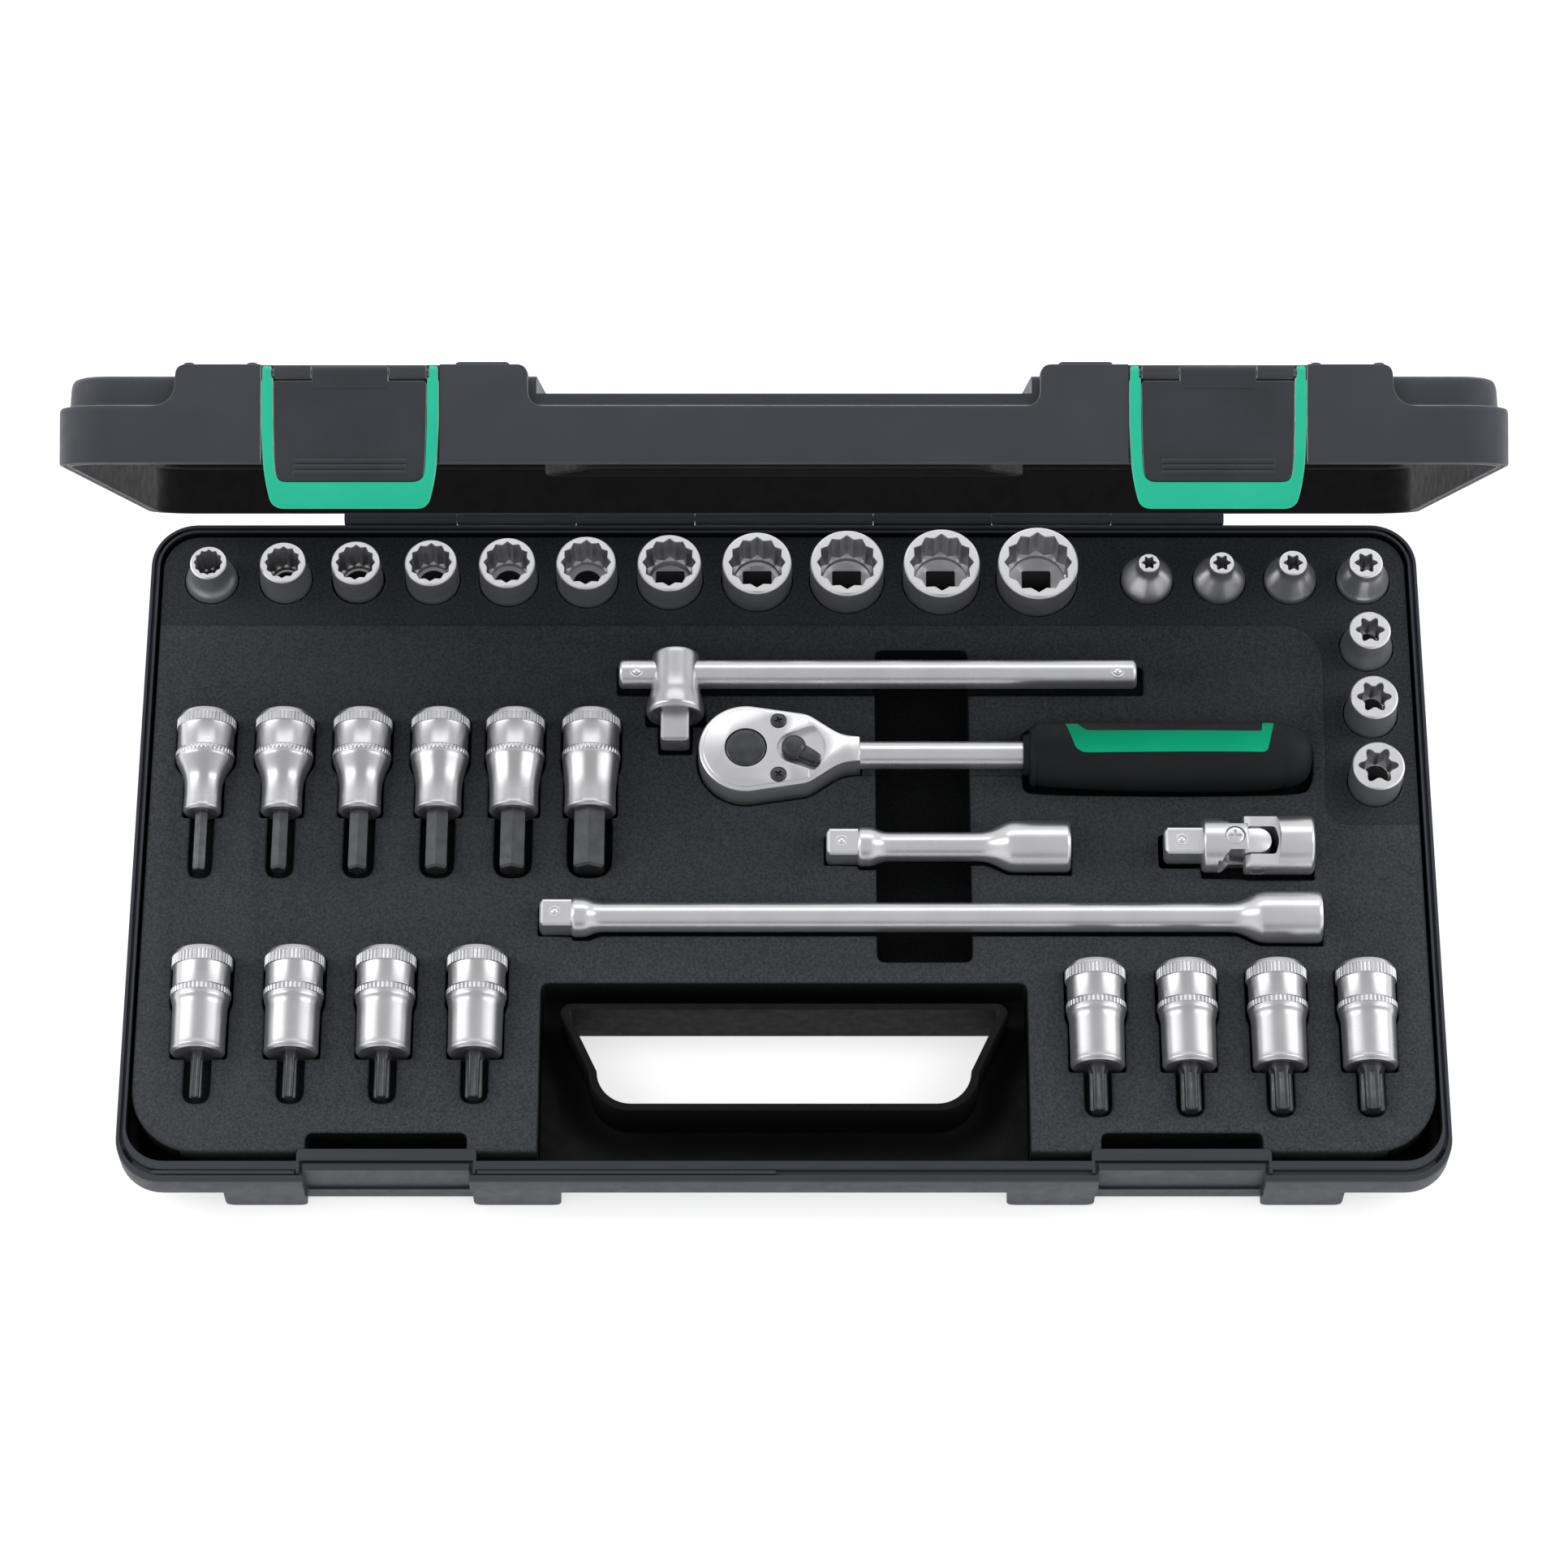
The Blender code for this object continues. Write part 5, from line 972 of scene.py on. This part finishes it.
# ------------------------------------------------------------------ extensions
for name, x0, length, y in EXTENSIONS:
    end = soft_profile([(10.3, 5.5), (10.4, 5.9), (11.2, 6.4), (15.0, 6.4), (18.6, 4.75), (24.0, 4.75)], [0, 0.3, 0.6, 1.6, 2.2, 0])
    far = soft_profile([(length - 34.0, 4.75), (length - 27.0, 4.75), (length - 20.5, 8.1), (length - 18.0, 8.4), (length - 0.8, 8.4), (length, 7.7)], [0, 3.2, 2.6, 1.5, 0.5, 0])
    profile = [(0, ("square", SQUARE - 2.2, 1.0)), (0.3, ("square", SQUARE - 1.2, 1.0)), (1.1, ("square", SQUARE, 1.0)), (10.3, ("square", SQUARE, 1.0))] + end + far + [
        (length, ("square", SQUARE_HOLE + 1.2, 0.8)), (length - 0.6, HOLE), (length - 12.0, HOLE)]
    piece(f"{name}_bar", [turned(profile, (x0, y, EXT_Z), ALONG)], CHROME_X, name, [name], angle=28,
          extra=detent((x0 + 5.0, y, EXT_Z + SQUARE / 2), Vector((0, 0, 1)), 1.25, 1.9))

# ------------------------------------------------------------- universal joint
uj = soft_profile([(0, 8.2), (0.7, 9.5), (UJ_X1 - 149.6, 9.5), (UJ_X1 - 149.0, 9.1), (UJ_X1 - 149.0, 0.3)], [0, 0.6, 0.4, 0.3, 0])


def disc_y(x, z, r, y0, y1, n=48):
    return loft([[(px, y, pz) for px, pz in circle(x, z, r, n)] for y in (y0, y1)])


scoop = [(140.0, -20.0), (158.0, -20.0), (160.6, -4.0), (160.9, 0.0), (160.6, 4.0), (158.0, 20.0), (140.0, 20.0)]
scoop = [(x, UJ_Y + v) for x, v in scoop]
gap = [(140.0, -4.9), (159.4, -4.9), (160.9, 0.0), (159.4, 4.9), (140.0, 4.9)]
gap = [(p[0], UJ_Y + p[1]) for p in round_path([(x, v, 0) for x, v in gap], [0, 1.0, 3.0, 1.0, 0], steps=5)]
piece(
    "uj_socket_end", [turned([(11.0, HOLE), (0.6, HOLE), (0, ("square", SQUARE_HOLE + 1.2, 0.8))] + uj, (UJ_X1, UJ_Y, UJ_Z), (-1, 0, 0))], CHROME_X, "universal_joint", ["uj_socket_fork"],
    cuts=[
        prism(ccw(gap), UJ_Z - 20, UJ_Z + 20),
        prism(ccw(scoop), UJ_Z + 4.4, UJ_Z + 20), prism(ccw(scoop), UJ_Z - 20, UJ_Z - 4.4),
        disc_y(PIN2_X, UJ_Z, PIN2_R + 0.05, UJ_Y - 14, UJ_Y + 14),
        # the fork's ears are rounded off round their pin
        loft([[(x, y, z) for x, z in [(146.0, UJ_Z - 5), (152.0, UJ_Z - 5), (149.6, UJ_Z - 3.0), (149.0, UJ_Z - 1.0), (149.0, UJ_Z + 1.0), (149.6, UJ_Z + 3.0), (152.0, UJ_Z + 5), (146.0, UJ_Z + 5)]] for y in (UJ_Y - 14, UJ_Y + 14)]),
    ], angle=30,
)
piece(
    "uj_centre_block", [prism(rounded(141.75, 158.2, UJ_Y - 4.35, UJ_Y + 4.35, 4.2, 10), UJ_Z - 4.35, UJ_Z + 4.35, 0.4, 0.4)], CHROME, "uj_link", ["uj_link_block"],
    cuts=[prism(circle(PIN1_X, UJ_Y, PIN1_R + 0.06, 48), UJ_Z - 9, UJ_Z + 9), disc_y(PIN2_X, UJ_Z, PIN2_R + 0.06, UJ_Y - 9, UJ_Y + 9)],
)
male = [(0, ("square", SQUARE - 2.2, 1.0)), (0.3, ("square", SQUARE - 1.2, 1.0)), (1.1, ("square", SQUARE, 1.0)), (12.3, ("square", SQUARE, 1.0))] + soft_profile([(12.3, 7.9), (13.0, 8.8), (26.6, 8.8), (27.0, 8.4), (27.0, 0.3)], [0, 0.5, 0.3, 0.3, 0])
ear = [(137.0, -20), (139.0, -20), (141.8, -7.5), (144.5, -4.6), (160, -4.55), (160, -20)]
flank = [(x, UJ_Y + v) for x, v in ear]
flank2 = [(x, UJ_Y - v) for x, v in ear]
round_end = [(146.0, -12), (152, -12), (152, 12), (146.0, 12)] + [(PIN1_X + 4.6 * cos(radians(t)), 4.6 * sin(radians(t))) for t in range(90, -91, -10)]
piece(
    "uj_square_end", [turned(male, (UJ_X0, UJ_Y, UJ_Z), ALONG)], CHROME_X, "uj_square", ["uj_square_fork"],
    cuts=[
        block(140.6, 156.0, UJ_Y - 20, UJ_Y + 20, UJ_Z - 4.65, UJ_Z + 4.65),
        prism(ccw(flank), UJ_Z - 20, UJ_Z + 20), prism(ccw(flank2), UJ_Z - 20, UJ_Z + 20),
        prism(circle(PIN1_X, UJ_Y, PIN1_R + 0.05, 48), UJ_Z - 12, UJ_Z + 12),
    ], angle=30, extra=detent((UJ_X0 + 5.6, UJ_Y, UJ_Z + SQUARE / 2), Vector((0, 0, 1)), 1.3, 2.0),
)
pin = soft_profile([(-8.0, 0.3), (-8.0, PIN1_R - 0.3), (-7.7, PIN1_R), (7.7, PIN1_R), (8.2, PIN1_R - 0.4), (8.35, PIN1_R - 1.2), (8.45, 0.3)], [0, 0.2, 0.2, 0.3, 0.3, 0.4, 0])
cross = [(-1.9, -0.38), (-0.38, -0.38), (-0.38, -1.9), (0.38, -1.9), (0.38, -0.38), (1.9, -0.38), (1.9, 0.38), (0.38, 0.38), (0.38, 1.9), (-0.38, 1.9), (-0.38, 0.38), (-1.9, 0.38)]
piece("uj_upright_pin", [turned(pin, (PIN1_X, UJ_Y, UJ_Z), UP, 64)], CHROME_Z, "uj_square", ["uj_pin_upright"],
      cuts=[prism([(PIN1_X + u, UJ_Y + v) for u, v in cross], UJ_Z + 7.6, UJ_Z + 12)], angle=30)
pin = soft_profile([(-9.3, 0.3), (-9.3, PIN2_R - 0.9), (-8.9, PIN2_R), (8.9, PIN2_R), (9.3, PIN2_R - 0.9), (9.3, 0.3)], [0, 0.3, 0.3, 0.3, 0.3, 0])
piece("uj_level_pin", [turned(pin, (PIN2_X, UJ_Y, UJ_Z), (0, 1, 0), 48)], CHROME_Y, "universal_joint", ["uj_pin_level"])

# inside faces of the shells are painted darker than their moulded outsides as painted shade, and so are the foam's cut
# walls
UNTURN = Matrix.Scale(0.001, 4) @ LID_TURN.inverted() @ Matrix.Scale(1000, 4)


def faces_in(c, n):
    """True when a wall face near the outline looks towards the middle of the case."""
    if abs(c.x) > HW - 12 and n.x * c.x > 2.0:
        return False
    if c.y > HD - 12 and n.y > 0.02:
        return False
    return not (c.y < -105.0 and n.y < -0.02)


for name, back in (("case_base_shell", None), ("lid_case_shell", UNTURN)):
    mesh = bpy.data.objects[name].data
    mesh.materials.append(CASE_IN_PAINTED_SHADE)
    for polygon in mesh.polygons:
        c = (back @ polygon.center if back else polygon.center) * 1000
        n = back.to_3x3() @ polygon.normal if back else polygon.normal.copy()
        inside = abs(c.x) < HW - 2.7 and -110.5 < c.y < HD - 2.7 and faces_in(c, n)
        if back is None:
            inside = inside and 2.0 < c.z < 23.4
        else:
            inside = inside and 24.5 < c.z < 47.6 and not (n.z > 0.5 and c.z > 44.0)
            # the edges of the handle's step, seen from inside the lid, get the painted shade too
            if abs(abs(c.x) - 74.4) < 0.5 and n.x * c.x > 10 and 40.0 < c.z < 49.5 and -110.5 < c.y < -40.0:
                inside = True
        if inside:
            polygon.material_index = 1
mesh = bpy.data.objects["foam_tool_tray"].data
# pocket walls and floors get a near-black foam and the strip's top a darker foam, both as painted shade
mesh.materials.append(FOAM_CUT_PAINTED_SHADE)
mesh.materials.append(FOAM_STRIP_PAINTED_SHADE)
for polygon in mesh.polygons:
    c = polygon.center * 1000
    if abs(c.z - STRIP_TOP) < 0.03 and polygon.normal.z > 0.9:
        polygon.material_index = 2
    elif c.z < STRIP_TOP - 0.7 and abs(c.x) < 207.0 and -106.0 < c.y < 112.5:
        polygon.material_index = 1
# the lid stands close behind the tools; kept out of their mirror image, as in a lit product photograph
for obj in bpy.data.objects:
    if obj.name.startswith(("lid_", "latch_")):
        obj.visible_glossy = False

# ---------------------------------------------------------------------- stage
floor_mesh = bpy.data.meshes.new("floor")
bm = bmesh.new()
half = 4.0
bm.faces.new([bm.verts.new(p) for p in ((-half, -half, 0), (half, -half, 0), (half, half, 0), (-half, half, 0))])
bm.to_mesh(floor_mesh)
bm.free()
floor = bpy.data.objects.new("floor", floor_mesh)
SCENE.objects.link(floor)
paper = Shader("floor_paper", (0.9, 0.9, 0.903), 0.75)
paper.bsdf.inputs["Emission Color"].default_value = (1, 1, 1, 1)
paper.bsdf.inputs["Emission Strength"].default_value = 0.6
paper.gloss(paper.span(paper.noise(3, 2), 0.7, 0.8))
floor_mesh.materials.append(paper.mat)

# the studio: bright sides and back, a grey top and a dark band low in front
world = bpy.data.worlds.new("studio")
bpy.context.scene.world = world
world.use_nodes = True
wt = world.node_tree
background = wt.nodes["Background"]
direction = wt.nodes.new("ShaderNodeSeparateXYZ")
wt.links.new(wt.nodes.new("ShaderNodeTexCoord").outputs["Generated"], direction.inputs[0])


def ramp(source, stops):
    node = wt.nodes.new("ShaderNodeValToRGB")
    while len(node.color_ramp.elements) < len(stops):
        node.color_ramp.elements.new(0.5)
    for element, (place, value) in zip(node.color_ramp.elements, stops):
        element.position = place
        element.color = (value, value, value * 1.01, 1)
    wt.links.new(source, node.inputs["Fac"])
    return node.outputs["Color"]


def world_math(operation, a, b=None, clamp=False):
    node = wt.nodes.new("ShaderNodeMath")
    node.operation = operation
    node.use_clamp = clamp
    for socket, value in zip(node.inputs, (a, b)):
        if value is None:
            continue
        if isinstance(value, (int, float)):
            socket.default_value = value
        else:
            wt.links.new(value, socket)
    return node.outputs[0]


def world_mix(factor, a, b):
    node = wt.nodes.new("ShaderNodeMix")
    node.data_type = "RGBA"
    wt.links.new(factor, node.inputs[0])
    wt.links.new(a, node.inputs[6])
    wt.links.new(b, node.inputs[7])
    return node.outputs[2]


height = world_math("MULTIPLY_ADD", direction.outputs["Z"], 0.5)
height.node.inputs[2].default_value = 0.5
around = ramp(height, [(0.0, 0.5), (0.5, 0.8), (0.62, 1.0), (0.8, 0.74), (0.93, 0.62), (1.0, 0.58)])
front = ramp(height, [(0.0, 0.45), (0.5, 0.7), (0.60, 0.8), (0.645, 0.06), (0.76, 0.05), (0.83, 0.55), (1.0, 0.58)])
frontness = world_math("MULTIPLY", direction.outputs["Y"], -2.6, clamp=True)
sidewise = world_math("SUBTRACT", 1.0, world_math("MULTIPLY", world_math("ABSOLUTE", direction.outputs["X"]), 1.9, clamp=True), clamp=True)
wt.links.new(world_mix(world_math("MULTIPLY", frontness, sidewise), around, front), background.inputs["Color"])
background.inputs["Strength"].default_value = 0.95


def softbox(name, place, target, size, power, size_y=None):
    data = bpy.data.lights.new(name, "AREA")
    data.energy = power
    data.shape = "RECTANGLE"
    data.size = size
    data.size_y = size_y or size
    light = bpy.data.objects.new(name, data)
    light.location = place
    light.rotation_euler = (Vector(target) - Vector(place)).to_track_quat("-Z", "Y").to_euler()
    SCENE.objects.link(light)
    return light


softbox("key_left", (-1.25, 0.25, 0.95), (0, 0, 0.05), 0.5, 6.0, 1.4)
softbox("key_right", (1.25, 0.25, 0.95), (0, 0, 0.05), 0.5, 5.2, 1.4)
softbox("top_back", (0.0, 1.15, 1.25), (0, 0.05, 0.05), 1.8, 4.5, 0.5)

# --------------------------------------------------------------------- camera
camera_data = bpy.data.cameras.new("camera")
camera_data.sensor_width = 36.0
camera_data.lens = 6210.0 / 1932.0 * 36.0
camera_data.clip_start = 0.05
camera_data.clip_end = 20.0
camera_data.shift_y = -166.0 / 1932.0
camera = bpy.data.objects.new("camera", camera_data)
elevation = radians(63.51)
distance = 1.6748
camera.location = (0.0, 0.07042 - distance * cos(elevation), 0.024 + distance * sin(elevation))
camera.rotation_euler = (pi / 2 - elevation, 0.0, 0.0)
SCENE.objects.link(camera)
bpy.context.scene.camera = camera
bpy.context.scene.view_settings.view_transform = "Standard"
bpy.context.scene.view_settings.look = "None"
